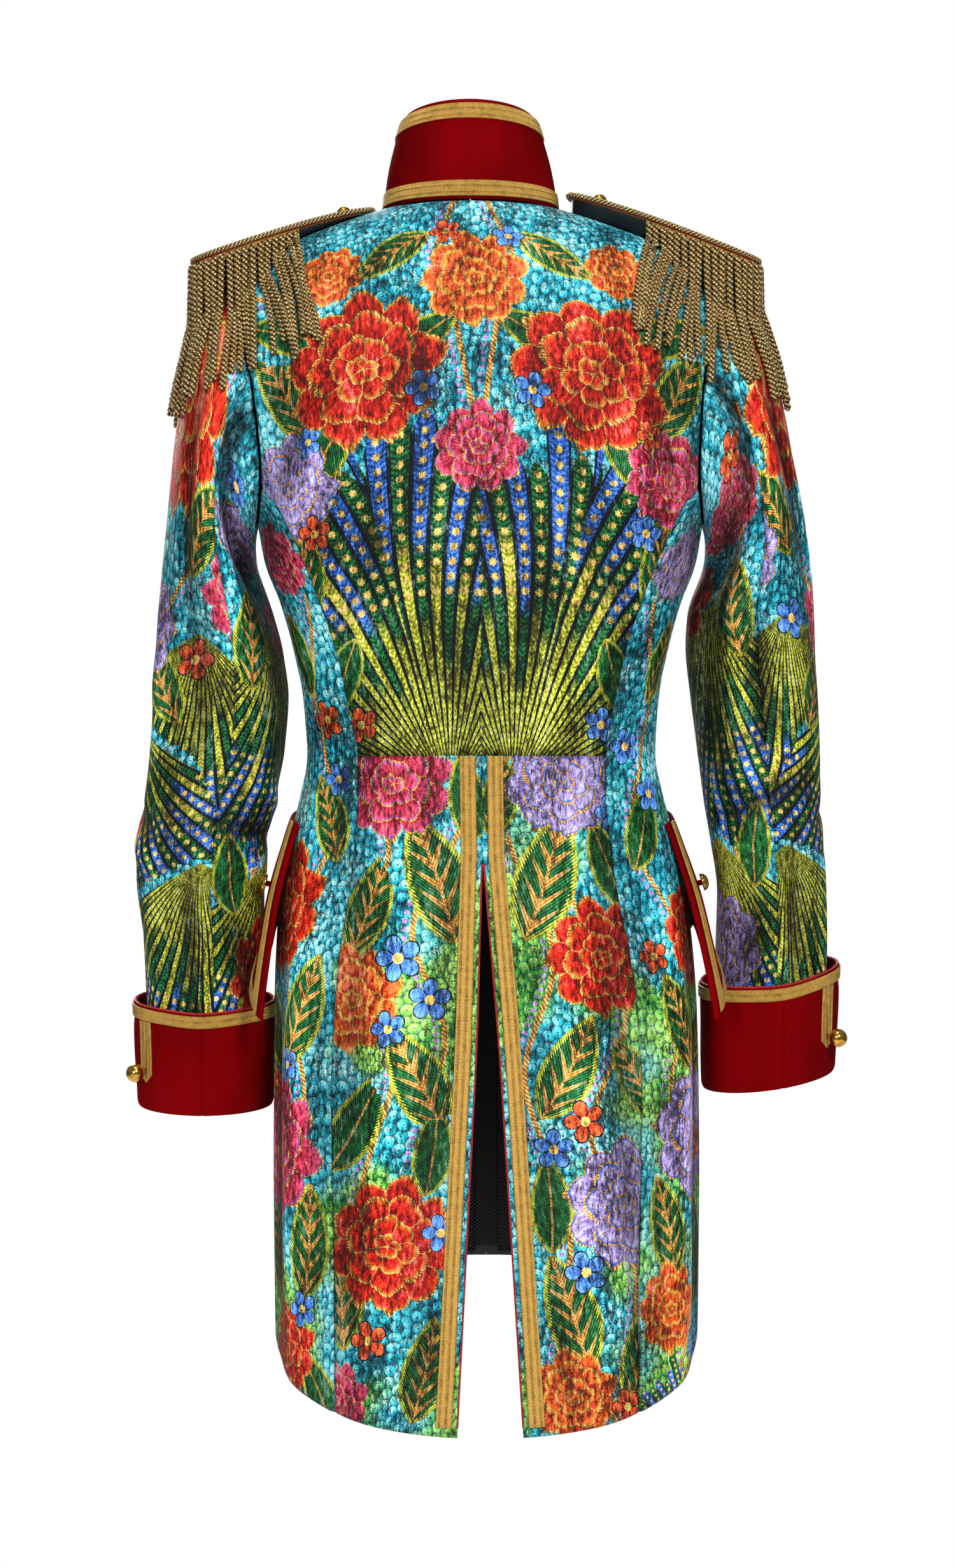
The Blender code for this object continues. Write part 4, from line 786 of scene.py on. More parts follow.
printPlan = {
    "back_body": {
        "palm": [(24, -432, 285, -15, 0), (-24, -432, 285, 15, 0)],
        "bloom": [(84, -112, 60, 10, 0), (-86, -116, 60, 40, 0), (0, -48, 40, 0, 3), (150, -196, 44, 20, 2),
            (-150, -190, 42, 70, 1), (0, -178, 34, 15, 1), (112, -30, 27, 40, 3), (-110, -26, 27, 0, 3)],
        "leaf": [(150, -122, 44, 60, 1), (-152, -122, 44, 118, 1), (42, -92, 34, 150, 0),
            (-42, -92, 34, 30, 0), (146, -76, 38, 20, 0), (-146, -76, 38, 160, 0), (62, -22, 34, -30, 1),
            (-60, -22, 34, 210, 1), (116, -176, 40, -60, 0), (-116, -176, 40, 240, 0), (140, -262, 40, 80, 1),
            (-140, -258, 40, 100, 1), (106, -350, 34, -70, 0), (-106, -350, 34, 250, 0)],
        "small": [(40, -132, 15, 0, 0), (-40, -134, 15, 30, 0), (20, -6, 13, 0, 1), (-26, -10, 13, 20, 0),
            (128, -236, 16, 10, 1), (-128, -236, 16, 30, 0), (92, -384, 15, 0, 1), (-92, -384, 15, 30, 0),
            (130, -160, 13, 0, 0), (-130, -156, 13, 0, 1)],
        "tendril": [
            [(14, 20), (28, -30), (16, -80), (6, -140)],
            [(-14, 20), (-28, -30), (-16, -80), (-6, -140)],
            [(168, -40), (120, -66), (132, -150), (160, -210)],
            [(-168, -40), (-120, -66), (-132, -150), (-160, -210)]]},
    "side_back_left": {
        "bloom": [(168, -520, 52, 0, 0), (160, -700, 54, 30, 1), (124, -255, 30, 20, 1),
            (150, -850, 36, 0, 0)],
        "leaf": [(120, -455, 36, 70, 1), (128, -600, 46, 110, 1), (186, -610, 40, 60, 0),
            (120, -770, 44, 95, 1), (184, -780, 38, 80, 1), (138, -330, 34, 80, 0), (112, -880, 34, 60, 0)],
        "small": [(118, -380, 16, 0, 1), (112, -425, 14, 0, 0), (140, -640, 15, 0, 0), (182, -655, 14, 0, 1),
            (126, -820, 15, 0, 0)],
        "palm": [(150, -960, 110, 0, 0)],
        "tendril": [
            [(110, -300), (130, -380), (112, -460), (150, -560), (120, -660), (168, -760), (130, -900)]]},
    "side_back_right": {
        "bloom": [(-160, -690, 52, 10, 2), (-172, -545, 40, 50, 0), (-126, -260, 30, 20, 2),
            (-128, -820, 34, 0, 3)],
        "leaf": [(-126, -460, 38, 110, 0), (-136, -610, 40, 70, 1), (-186, -620, 38, 120, 1),
            (-180, -780, 44, 90, 0), (-120, -760, 40, 75, 1), (-136, -335, 34, 100, 1),
            (-150, -890, 36, 100, 1)],
        "small": [(-112, -400, 15, 0, 0), (-138, -436, 16, 20, 0), (-116, -560, 14, 0, 1),
            (-180, -700, 14, 0, 1), (-168, -850, 15, 0, 0)],
        "palm": [(-168, -965, 120, 0, 0)],
        "tendril": [
            [(-110, -300), (-134, -380), (-116, -470), (-156, -570), (-122, -660), (-170, -770),
                (-126, -900)]]},
    "skirt_back_left": {
        "bloom": [(66, -428, 44, 0, 1), (58, -770, 50, 25, 0), (96, -590, 40, 0, 3), (98, -885, 30, 0, 1)],
        "leaf": [(36, -500, 52, 70, 1), (86, -520, 42, 110, 1), (44, -650, 46, 60, 1), (90, -680, 44, 120, 0),
            (100, -800, 50, 80, 1), (28, -860, 40, 100, 1), (30, -700, 34, 95, 0), (12, -440, 34, 80, 0)],
        "small": [(60, -560, 19, 0, 0), (36, -590, 17, 20, 0), (66, -612, 15, 0, 0), (70, -840, 16, 0, 1),
            (20, -760, 15, 0, 0)],
        "tendril": [
            [(90, -420), (70, -480), (94, -560), (60, -640), (80, -720), (104, -840), (80, -900)],
            [(20, -470), (50, -540), (24, -620), (40, -700)]]},
    "skirt_back_right": {
        "bloom": [(-62, -426, 44, 30, 2), (-84, -560, 44, 0, 0), (-90, -742, 48, 15, 2),
            (-40, -880, 34, 0, 3)],
        "leaf": [(-44, -498, 52, 110, 1), (-94, -490, 36, 70, 0), (-50, -640, 44, 120, 1),
            (-30, -740, 36, 90, 0), (-40, -820, 46, 75, 1), (-98, -850, 44, 110, 1), (-104, -650, 36, 60, 1),
            (-12, -438, 32, 100, 1)],
        "small": [(-60, -680, 17, 0, 1), (-36, -700, 16, 20, 0), (-100, -450, 15, 0, 0),
            (-54, -790, 17, 0, 0), (-82, -890, 15, 0, 1)],
        "tendril": [
            [(-92, -420), (-60, -500), (-100, -600), (-64, -690), (-96, -800), (-70, -900)],
            [(-22, -480), (-46, -560), (-18, -650), (-44, -760), (-24, -880)]]},
    "front_left": {
        "palm": [(96, -450, 260, 0, 0)],
        "bloom": [(60, -150, 54, 0, 0), (130, -205, 40, 0, 2), (140, -560, 50, 20, 1), (60, -640, 52, 0, 0),
            (130, -740, 42, 0, 2)],
        "leaf": [(30, -240, 44, 110, 1), (100, -110, 40, 40, 1), (90, -560, 46, 70, 1),
            (30, -560, 44, 100, 0), (90, -720, 40, 60, 1)],
        "small": [(30, -90, 15, 0, 1), (100, -480, 16, 0, 0), (40, -480, 15, 0, 1), (160, -650, 15, 0, 0),
            (30, -740, 16, 0, 0)],
        "tendril": [[(20, -80), (60, -220), (20, -320), (90, -460), (40, -600), (110, -760)]]},
    "front_right": {
        "palm": [(-96, -450, 260, 0, 0)],
        "bloom": [(-60, -150, 54, 40, 0), (-130, -205, 40, 0, 1), (-140, -560, 50, 0, 2),
            (-60, -640, 52, 0, 3), (-130, -740, 42, 0, 1)],
        "leaf": [(-30, -240, 44, 70, 1), (-100, -110, 40, 140, 1), (-90, -560, 46, 110, 1),
            (-30, -560, 44, 80, 0), (-90, -720, 40, 120, 1)],
        "small": [(-30, -90, 15, 0, 0), (-100, -480, 16, 0, 1), (-40, -480, 15, 0, 0), (-160, -650, 15, 0, 1),
            (-30, -740, 16, 0, 0)],
        "tendril": [[(-20, -80), (-60, -220), (-20, -320), (-90, -460), (-40, -600), (-110, -760)]]}}
foldPlan = {
    "back_body": [(30, -395, 96, -300, 12, 2.2), (-34, -398, -100, -310, 12, 2.2),
        (60, -398, 104, -348, 8, -1.8), (-66, -398, -104, -350, 8, -1.9), (150, -226, 112, -170, 12, 2.8),
        (-152, -224, -112, -168, 12, 2.8), (158, -196, 128, -120, 9, -2.8), (-158, -194, -126, -118, 9, -2.8),
        (0, -398, 4, -280, 22, -1.6), (20, -10, 60, -40, 14, 1.2), (-20, -10, -64, -44, 14, 1.2),
        (160, -150, 150, -90, 10, -2.2), (-160, -150, -150, -90, 10, -2.2), (110, -330, 84, -250, 9, -1.6),
        (-112, -320, -88, -240, 9, -1.6)],
    "side_back_left": [(112, -400, 150, -452, 10, 2.0), (118, -384, 160, -400, 7, -2.0),
        (128, -480, 142, -900, 17, 3.8), (168, -520, 178, -860, 15, -3.4), (112, -360, 146, -310, 9, 1.6),
        (104, -470, 108, -880, 10, -1.6), (114, -340, 158, -352, 7, -1.6), (120, -424, 164, -436, 7, -1.7),
        (110, -210, 150, -260, 12, -2.4)],
    "side_back_right": [(-112, -402, -152, -450, 10, 2.0), (-118, -386, -158, -398, 7, -2.0),
        (-134, -490, -146, -900, 18, 3.8), (-172, -520, -180, -860, 15, -3.4),
        (-112, -362, -146, -318, 9, 1.6), (-104, -480, -110, -880, 10, -1.7),
        (-116, -338, -158, -346, 7, -1.6), (-118, -426, -160, -440, 7, -1.7),
        (-112, -214, -150, -258, 12, -2.4)],
    "skirt_back_left": [(60, -420, 66, -900, 20, 3.2), (92, -440, 98, -900, 14, -2.9),
        (30, -470, 34, -900, 14, -1.4)],
    "skirt_back_right": [(-56, -420, -64, -900, 20, 3.1), (-90, -440, -98, -900, 14, -3.0),
        (-28, -480, -34, -900, 13, -1.4)],
    "front_left": [(60, -460, 70, -780, 20, 3.2), (120, -470, 128, -780, 18, -3.0),
        (150, -200, 90, -170, 12, 2.0)],
    "front_right": [(-60, -460, -72, -780, 20, 3.2), (-120, -470, -130, -780, 18, -3.0),
        (-150, -200, -92, -164, 12, 2.0)]}


panelThick = 1.6
backHalf = 165.0  # half the back's width under the arms
armRadius, elbowRadius = 50.0, 46.0  # by which angles round an arm become lengths


def lay(name, grid, out, cut, seams):
    # Adds a panel's folds and rolled edges, and makes its cloth.
    height = foldHeight(cut, foldPlan[name]) + edgeRoll(grid, seams)
    clothShell(name + "_cloth", grid + out * height[..., None], out, panelThick, [printedVelvet, lining], cut,
               name, layers=printPlan[name], height=height)


def bodyPanel(name, side, face, start, end, stations, seams, across=0.0, step=4.0):
    # A panel of the body between two shares of each row.
    rows = stations[:, None]
    probe = torso(side, face, start + (end - start) * np.linspace(0, 1, 30), rows)
    along = start + (end - start) * paced(runAlong(probe, 1)[:, -1].mean(), step)[None, :]
    grid, out = torso(side, face, along, rows), torsoNormals(side, face, along, rows)
    waistRow = int(np.argmin(np.abs(stations - waistline)))
    cut = cutOf(grid, 0, waistRow, (across, heights["waist"]))
    cut[..., 0] *= side
    lay(name, grid, out, cut, seams)


def seamGap(side, face, stations, gap=0.05):
    # A width as a share of each row.
    probe = torso(side, face, np.linspace(0, 1, 30)[None, :], stations[:, None])
    return gap / runAlong(probe, 1)[:, -1:]


def makeBody():
    # The back in one piece, then a side back, a back skirt and a front on each side.
    upper = rowMarks((neck, 34), (tip, 58), (underarm, 20), (waistline - 0.00006, 1))
    limit = princess(1, upper)[:, None] - seamGap(1, "back", upper)
    half = paced(2 * backHalf, 4.0)
    half = half[half >= 0.5 - 1e-9] * 2 - 1
    half[0] = 0.0
    along = limit * half[None, :]
    halves = ((-1, "back", along[:, :0:-1], upper[:, None]), (1, "back", along, upper[:, None]))
    grid, out = [np.concatenate([make(*part) for part in halves], axis=1) for make in (torso, torsoNormals)]
    cut = cutOf(grid, along.shape[1] - 1, len(upper) - 1, (0.0, heights["waist"]))
    lay("back_body", grid, out, cut, (1, 1, 1, 1))
    for sideName, side in sides.items():
        rows = rowMarks((1.80, 16), (underarm, 20), (waistline, 120), (hemline, 1))
        gap = seamGap(side, "back", rows)
        bodyPanel("side_back_" + sideName, side, "back", princess(side, rows)[:, None] + gap, 1 - gap, rows,
                  (1, 1, 0.5, 0.5), across=96.0)
        rows = rowMarks((waistline + 0.00006, 125), (hemline, 1))
        height = torso(side, "back", 0.1, rows)[..., 2]
        edge = 0.05 + np.maximum(0, heights["ventTop"] - height) * ventSlope[sideName]
        start = alongAt(side, "back", rows, edge)[:, None]
        end = princess(side, rows)[:, None] - seamGap(side, "back", rows)
        bodyPanel("skirt_back_" + sideName, side, "back", start, end, rows, (0.5, 1, 1, 0.5), across=0.5)
        rows = rowMarks((neck, 24), (tip, 46), (underarm, 18), (waistline, 95), (hemline, 1))
        gap = seamGap(side, "front", rows)
        bodyPanel("front_" + sideName, side, "front", gap, 1 - gap, rows, (0.5, 1, 1, 0.5),
                  across=0.5, step=5.0)


makeBody()
print("body laid")


# Sleeves

def sleeveNormals(sideName, turn, way):
    # Unit normals of the sleeve, outward on both arms.
    return normals(partial(sleeve, sideName), turn, way, -sides[sideName], du=0.5)


sleevePrints = {
    "sleeve_upper_left": {
        "palm": [(-8, -350, 215, 178, 0), (-26, -176, 205, 172, 0), (-112, -236, 200, 186, 0)],
        "bloom": [(-60, -46, 56, 20, 0), (20, -150, 40, 10, 1), (-96, -170, 46, 0, 2), (30, -30, 34, 30, 3),
            (-120, -330, 44, 0, 0), (-20, -520, 40, 30, 1), (-118, -520, 40, 0, 3)],
        "leaf": [(-14, -100, 40, 60, 1), (-100, -100, 44, 110, 1), (34, -210, 34, 80, 0),
            (-60, -210, 40, 120, 1), (-110, -260, 40, 60, 1), (-70, -500, 40, 100, 1),
            (-120, -430, 40, 80, 1)],
        "small": [(-30, -196, 17, 0, 1), (-120, -60, 16, 0, 0), (30, -260, 14, 0, 0), (-46, -540, 16, 0, 0),
            (24, -486, 14, 0, 1)],
        "tendril": [
            [(-30, 0), (-10, -80), (-70, -180), (-40, -240)],
            [(-130, -200), (-90, -380), (-130, -480), (-80, -560)]]},
    "sleeve_upper_right": {
        "palm": [(10, -362, 215, 182, 0), (24, -184, 205, 187, 0), (112, -240, 200, 174, 0)],
        "bloom": [(56, -60, 54, 50, 0), (-26, -140, 40, 10, 2), (96, -190, 46, 0, 1), (-30, -30, 34, 30, 3),
            (116, -330, 44, 0, 0), (16, -515, 40, 30, 2), (110, -520, 40, 0, 0)],
        "leaf": [(10, -110, 40, 120, 1), (100, -110, 44, 70, 1), (-38, -200, 34, 100, 0),
            (60, -240, 40, 60, 1), (110, -260, 40, 120, 1), (66, -500, 40, 80, 1), (120, -430, 40, 100, 1)],
        "small": [(30, -190, 17, 0, 0), (120, -70, 16, 0, 1), (-36, -260, 14, 0, 1), (44, -545, 16, 0, 0),
            (-26, -480, 14, 0, 0)],
        "tendril": [
            [(30, 0), (10, -80), (70, -180), (40, -240)],
            [(130, -200), (90, -380), (130, -480), (80, -560)]]},
    "sleeve_under_left": {
        "palm": [(58, -350, 200, 180, 0), (44, -170, 200, 184, 0)],
        "bloom": [(40, -90, 40, 0, 2), (96, -170, 44, 0, 1), (60, -440, 44, 30, 0), (40, -520, 36, 0, 2)],
        "leaf": [(20, -180, 40, 80, 1), (100, -80, 38, 110, 1), (90, -380, 36, 60, 1),
            (16, -360, 34, 100, 0)],
        "small": [(20, -40, 15, 0, 0), (70, -30, 15, 0, 1), (90, -500, 15, 0, 0)],
        "tendril": [[(20, -100), (60, -260), (24, -420), (60, -540)]]},
    "sleeve_under_right": {
        "palm": [(-58, -356, 200, 180, 0), (-44, -176, 200, 176, 0)],
        "bloom": [(-40, -80, 40, 0, 1), (-96, -170, 44, 0, 0), (-60, -440, 44, 30, 2), (-40, -520, 36, 0, 0)],
        "leaf": [(-20, -180, 40, 100, 1), (-100, -80, 38, 70, 1), (-90, -380, 36, 120, 1),
            (-16, -360, 34, 80, 0)],
        "small": [(-20, -40, 15, 0, 1), (-70, -30, 15, 0, 0), (-90, -500, 15, 0, 1)],
        "tendril": [[(-20, -100), (-60, -260), (-24, -420), (-60, -540)]]}}
# Deep folds off the armhole, a hollow inside the arm, short creases at the elbow, slack above the cuff;
# both panels of a sleeve share one list, measured from the seam between them
sleeveFolds = {
    "left": [(-4, -8, 16, -72, 8, -6.6), (16, -68, 42, -140, 9, -6.6), (46, -70, 60, -300, 27, -7.0),
        (-22, -16, 0, -120, 9, 4.6), (8, -96, 0, -270, 9, 4.2), (-44, -20, -32, -190, 8, -4.0),
        (-22, -150, -24, -290, 8, -3.2), (20, -290, 84, -316, 9, 3.2), (-10, -318, 80, -340, 7, -3.6),
        (-20, -344, 66, -364, 9, 3.2), (-16, -356, -22, -440, 8, -4.0), (20, -390, 34, -460, 15, -4.0),
        (-60, -380, -44, -540, 11, 3.2), (-2, -400, 2, -540, 8, 2.8), (-92, -60, -62, -270, 12, 3.6),
        (-112, -100, -86, -300, 9, -3.6), (-96, -310, -46, -334, 8, -3.2), (-90, -340, -50, -356, 8, 2.6),
        (-120, -380, -110, -540, 12, -3.0)],
    "right": [(2, -10, -16, -90, 8, -5.6), (-42, -70, -58, -300, 27, -7.0), (22, -20, 4, -150, 10, 4.6),
        (34, -50, 62, -165, 8, -5.4), (52, -90, 84, -210, 9, 4.0), (-20, -110, -14, -280, 9, 3.6),
        (6, -190, -4, -300, 8, -3.0), (40, -286, -50, -316, 9, 3.2), (36, -314, -54, -342, 7, -3.6),
        (30, -340, -40, -368, 9, 3.0), (14, -372, 20, -470, 9, -4.0), (-22, -400, -36, -470, 14, -3.8),
        (64, -390, 46, -540, 11, 3.2), (0, -410, -2, -540, 8, 2.8), (96, -200, 72, -330, 12, -3.6),
        (114, -110, 96, -260, 9, -3.2), (100, -330, 50, -352, 8, -3.0), (118, -390, 106, -540, 12, -3.0)]}
printPlan.update(sleevePrints)
for sideName, folds in sleeveFolds.items():
    foldPlan["sleeve_upper_" + sideName] = foldPlan["sleeve_under_" + sideName] = folds
cuffs = {
    "left": {"top": -592, "bottom": -672, "wide": 52, "deep": 48},
    "right": {"top": -571, "bottom": -652, "wide": 51.5, "deep": 48}}


def makeSleeves():
    # Two panels an arm, from the armhole to the inside of the cuff's fold, laid on arcs between their seams.
    for sideName, side in sides.items():
        top, bottom = sleeves[sideName]["z"][[0, -1]]
        end = 1 + (cuffs[sideName]["bottom"] + 3.2 - top) / (bottom - top)
        ways = np.concatenate([np.linspace(0, 1, 40, endpoint=False), np.linspace(1.0, end, 104)])[:, None]
        seam, gap = seamTurn[sideName], math.degrees(0.05 / elbowRadius)
        for part, start, stop in (("upper", innerTurn - 360 + gap, seam - gap),
                                  ("under", seam + gap, innerTurn - gap)):
            long = math.radians(stop - start) * armRadius
            turns = (start + (stop - start) * paced(long, 3.6))[None, :]
            grid, out = sleeve(sideName, turns, ways), sleeveNormals(sideName, turns, ways)
            atSeam = grid.shape[1] - 1 if part == "upper" else 0
            down = runAlong(grid, 0)[:, atSeam:atSeam + 1]
            cut = stack(side * np.radians(turns - seam) * armRadius + 0 * down, -down, 0)[..., :2]
            name = "sleeve_%s_%s" % (part, sideName)
            lay(name, grid, out, cut, (1, 1, 0.8, 0))


makeSleeves()
print("sleeves laid")


# Braid, velvet and gilt

def makeBraid():
    # Flat metallic braid woven in ribs: a fine herringbone of metallised yarn, its glints painted in single
    # grains.
    made, shader, n = newFinish("metallicBraid", Roughness=0.42, Metallic=0.35, Specular_IOR_Level=0.6)
    across, run = n("SeparateXYZ", {}, n("UVMap", {"uv_map": "run"})).outputs[:2]
    rib = n("Math", "PINGPONG", n("Math", "MULTIPLY", across, 1 / 0.0024), 1.0)  # five ribs in 12 mm
    lag = n("Math", "MULTIPLY", rib, 1.1)
    pick = n("Math", "SINE", n("Math", "MULTIPLY_ADD", run, 7400.0, lag))  # 0.85 mm picks
    worn = n("TexNoise", flat2d, n("UVMap", {"uv_map": "run"}), 160.0, 3.0, 0.6)
    # The tone follows the weave's relief as painted shade in its dips and painted light on its raised ribs
    # and picks, with worn patches.
    lie = n("Math", "MULTIPLY_ADD", pick, 0.28, n("Math", "MULTIPLY_ADD", rib, 0.35, worn))
    tone = n("MapRange", clamped, lie, 0.10, 0.90)
    grain = n("TexNoise", flat2d, n("UVMap", {"uv_map": "run"}), 1500.0, 1.0, 0.5)  # 0.7 mm glints
    colour = n("Mix", rgba, tone, "#7e5410", "#e3ae46")
    # Painted glints: scattered 0.7 mm grains pale towards light yellow.
    colour = n("Mix", rgba, n("MapRange", clamped, grain, 0.54, 0.70, 0.0, 0.6), colour, "#ffe08c")
    height = n("Math", "MULTIPLY_ADD", pick, 0.35, rib)
    connect(made, shader, colour, height, 0.0005, n("MapRange", clamped, worn, 0.3, 0.7, 0.30, 0.52))
    return made


def makeBullion():
    # Bullion cord: metallised yarn laid round a core, with painted light on a strand's back and painted shade
    # where two meet.
    made, shader, n = newFinish("bullionCord", Roughness=0.36, Metallic=0.5, Specular_IOR_Level=0.6)
    proud, run = n("SeparateXYZ", {}, n("UVMap", {"uv_map": "run"})).outputs[:2]
    lag = n("Math", "MULTIPLY", proud, 4.0)
    yarn = n("Math", "SINE", n("Math", "MULTIPLY_ADD", run, 4600.0, lag))  # 1.4 mm yarn
    grime = n("TexNoise", flat2d, n("UVMap", {"uv_map": "run"}), 70.0, 2.0, 0.6)
    # Painted shade and light: the tone falls where two strands meet and rises on a strand's back.
    tone = n("Math", "MULTIPLY_ADD", yarn, 0.10, n("Math", "MULTIPLY_ADD", grime, 0.45, proud))
    grain = n("TexNoise", flat2d, n("UVMap", {"uv_map": "run"}), 1100.0, 1.0, 0.5)  # 1 mm glints
    colour = n("Mix", rgba, n("MapRange", clamped, tone, 0.74, 1.10), "#120b02", "#a3762a")
    # Painted highlight on the brightest backs, then painted glints in 1 mm grains.
    colour = n("Mix", rgba, n("MapRange", clamped, tone, 1.00, 1.26), colour, "#ffedb0")
    colour = n("Mix", rgba, n("MapRange", clamped, grain, 0.58, 0.70, 0.0, 0.40), colour, "#ffe3a0")
    connect(made, shader, colour, yarn, 0.0003)
    return made


def makeCordVelvet():
    # Red satin piping over a cord: close diagonal weave, a soft line of shine.
    made, shader, n = newFinish("redPiping", Roughness=0.5, Sheen_Weight=0.3, Sheen_Tint="#ff6a5c")
    place = n("TexCoord", {}).outputs["Object"]
    weave = n("Math", "SINE", n("VectorMath", "DOT_PRODUCT", place, (5200.0, 4100.0, 6300.0)))
    nap = n("TexNoise", {}, place, 260.0, 2.0, 0.5)
    colour = n("Mix", rgba, n("MapRange", clamped, nap, 0.35, 0.65), "#9c0411", "#cf0d1c")
    connect(made, shader, colour, weave, 0.0002)
    return made


def makeGilt():
    # Polished gilt brass: mirror bright, faint buffing marks, a little dull in patches.
    made, shader, n = newFinish("giltBrass", Roughness=0.16, Metallic=1.0)
    place = n("TexCoord", {}).outputs["Object"]
    haze = n("TexNoise", {}, place, 320.0, 3.0, 0.6)
    colour = n("Mix", rgba, n("MapRange", clamped, haze, 0.3, 0.7), "#b9842c", "#f0c262")
    connect(made, shader, colour, haze, 0.00005, n("MapRange", clamped, haze, 0.3, 0.7, 0.10, 0.26))
    return made


goldBraid, bullion, piping, gilt = makeBraid(), makeBullion(), makeCordVelvet(), makeGilt()


def tubeRings(path, radius, count):
    # Rings of points square to a path: radius * (cos(angle) * side + sin(angle) * rise) about each point.
    step = unit(np.gradient(path, axis=0))
    side = np.cross(step, (0.0, 0.0, 1.0))
    weak = np.linalg.norm(side, axis=1) < 0.2
    side[weak] = np.cross(step[weak], (0.0, 1.0, 0.0))
    for i in range(1, len(side)):
        if side[i] @ side[i - 1] < 0:
            side[i] = -side[i]
    side = unit(side)
    rise = np.cross(side, step)
    angle = np.linspace(0, 2 * math.pi, count, endpoint=False)[None, :, None]
    return path[:, None] + radius * (np.cos(angle) * side[:, None] + np.sin(angle) * rise[:, None])


def cordPiece(name, path, radius, finish, node=None, closed=False, count=8):
    # A plain round cord along a path.
    rings = tubeRings(path, radius, count)
    rows, columns = rings.shape[:2]
    faces = tubeFaces(rows, columns, closed)
    run = lengths(path)
    place = np.stack(np.broadcast_arrays(np.arange(columns)[None, :] / columns, run[:, None] * mm), axis=-1)
    middle = rings.mean(axis=1, keepdims=True)
    a, b, c = rings[0, 0], rings[0, 1], rings[1, 0]
    if np.cross(b - a, c - a) @ (a - middle[0, 0]) < 0:
        faces = [face[::-1] for face in faces]
    maps = {"run": (place.reshape(-1, 2), False)}
    piece = addPiece(name, rings.reshape(-1, 3), faces, [finish], node, maps)


def bandRise(across, ribs, thick):
    # Height over a braid's width: a low edge, then ribs as |sin|.
    rise = thick * (0.60 + 0.40 * np.abs(np.sin(math.pi * ribs * across)) ** 0.7)
    return np.where((across < 0.001) | (across > 0.999), thick * 0.35, rise)


def band(name, base, out, node, ribs=5, thick=1.1, lift=0.3, closed=False):
    # Braid over a grid of surface points, run by across: the top rises in ribs and the underside is flat.
    rows, count = base.shape[:2]
    across = np.linspace(0, 1, count)
    top = base + out * (lift + bandRise(across, ribs, thick))[None, :, None]
    low = (base + out * lift)[:, [-1, 0]]
    ring = np.concatenate([top, low], axis=1)
    columns = count + 2
    faces = tubeFaces(rows, columns, closed)
    middle = count // 2
    a, b, c = ring[0, middle], ring[1, middle], ring[0, middle + 1]
    if np.cross(b - a, c - a) @ out[0, middle] > 0:
        faces = [face[::-1] for face in faces]
    wide = runAlong(base, 1)
    wide = np.concatenate([wide, wide[:, [-1, 0]]], axis=1)
    run = np.tile(runAlong(base, 0)[:, middle:middle + 1], columns)
    maps = {"run": (np.stack([wide, run], axis=-1).reshape(-1, 2) * mm, False)}
    addPiece(name, ring.reshape(-1, 3), faces, [goldBraid], node, maps)


def lathe(name, seat, normal, profile, finish, node, count=40):
    # A profile of (radius, height) turned about the normal, its foot at the seat.
    profile = np.array(profile, float)
    normal = unit(np.asarray(normal, float))
    side = unit(np.cross(normal, (0.0, 0.0, 1.0) if abs(normal[2]) < 0.9 else (0.0, 1.0, 0.0)))
    rise = np.cross(normal, side)
    angle = np.linspace(0, 2 * math.pi, count, endpoint=False)[None, :, None]
    away, up = profile[:, None, :1], profile[:, None, 1:]
    rings = seat + away * (np.cos(angle) * side + np.sin(angle) * rise) + up * normal
    faces = tubeFaces(len(profile), count)
    a, b, c = rings[0, 0], rings[0, 1], rings[1, 0]
    if profile[1, 0] > profile[0, 0] and np.cross(b - a, c - a) @ normal > 0:
        faces = [face[::-1] for face in faces]
    addPiece(name, rings.reshape(-1, 3), faces, [finish], node)


# Buttons: a gilt ball on the cuffs, domes elsewhere; foot at the seat

def ballProfile(radius):
    # A thin shank, then a ball from 64 degrees below its middle to its top.
    turns = np.radians(np.linspace(-64, 89.5, 26))
    ball = [(radius * math.cos(a), radius * 1.28 + radius * math.sin(a)) for a in turns]
    return [(radius * 0.3, 0.0), (radius * 0.3, radius * 0.2), (radius * 0.36, ball[0][1] - 0.1)] + ball


def domeProfile(radius, rise=0.55):
    # A thin shank, a rolled rim and an elliptical dome inside it.
    turns = np.radians(np.linspace(8, 89.5, 16))
    stem = [(radius * 0.3, 0.0), (radius * 0.3, radius * 0.38), (radius * 0.86, radius * 0.40),
        (radius * 0.97, radius * 0.44), (radius, radius * 0.52), (radius * 0.97, radius * 0.58),
        (radius * 0.92, radius * 0.58)]
    return stem + [(radius * 0.92 * math.cos(a), radius * 0.56 + radius * (rise - 0.16) * math.sin(a))
                   for a in turns]


# Collar

collarCut = {"halfWidth": 51.0, "back": 41.0, "front": -50.0, "backTop": 84.0, "sideTop": 71.0,
             "frontTop": 34.0, "swell": 2.5, "gap": 0.008, "thick": 2.5, "braid": 12.0,
             "edge": 3.0, "foot": 2.0}


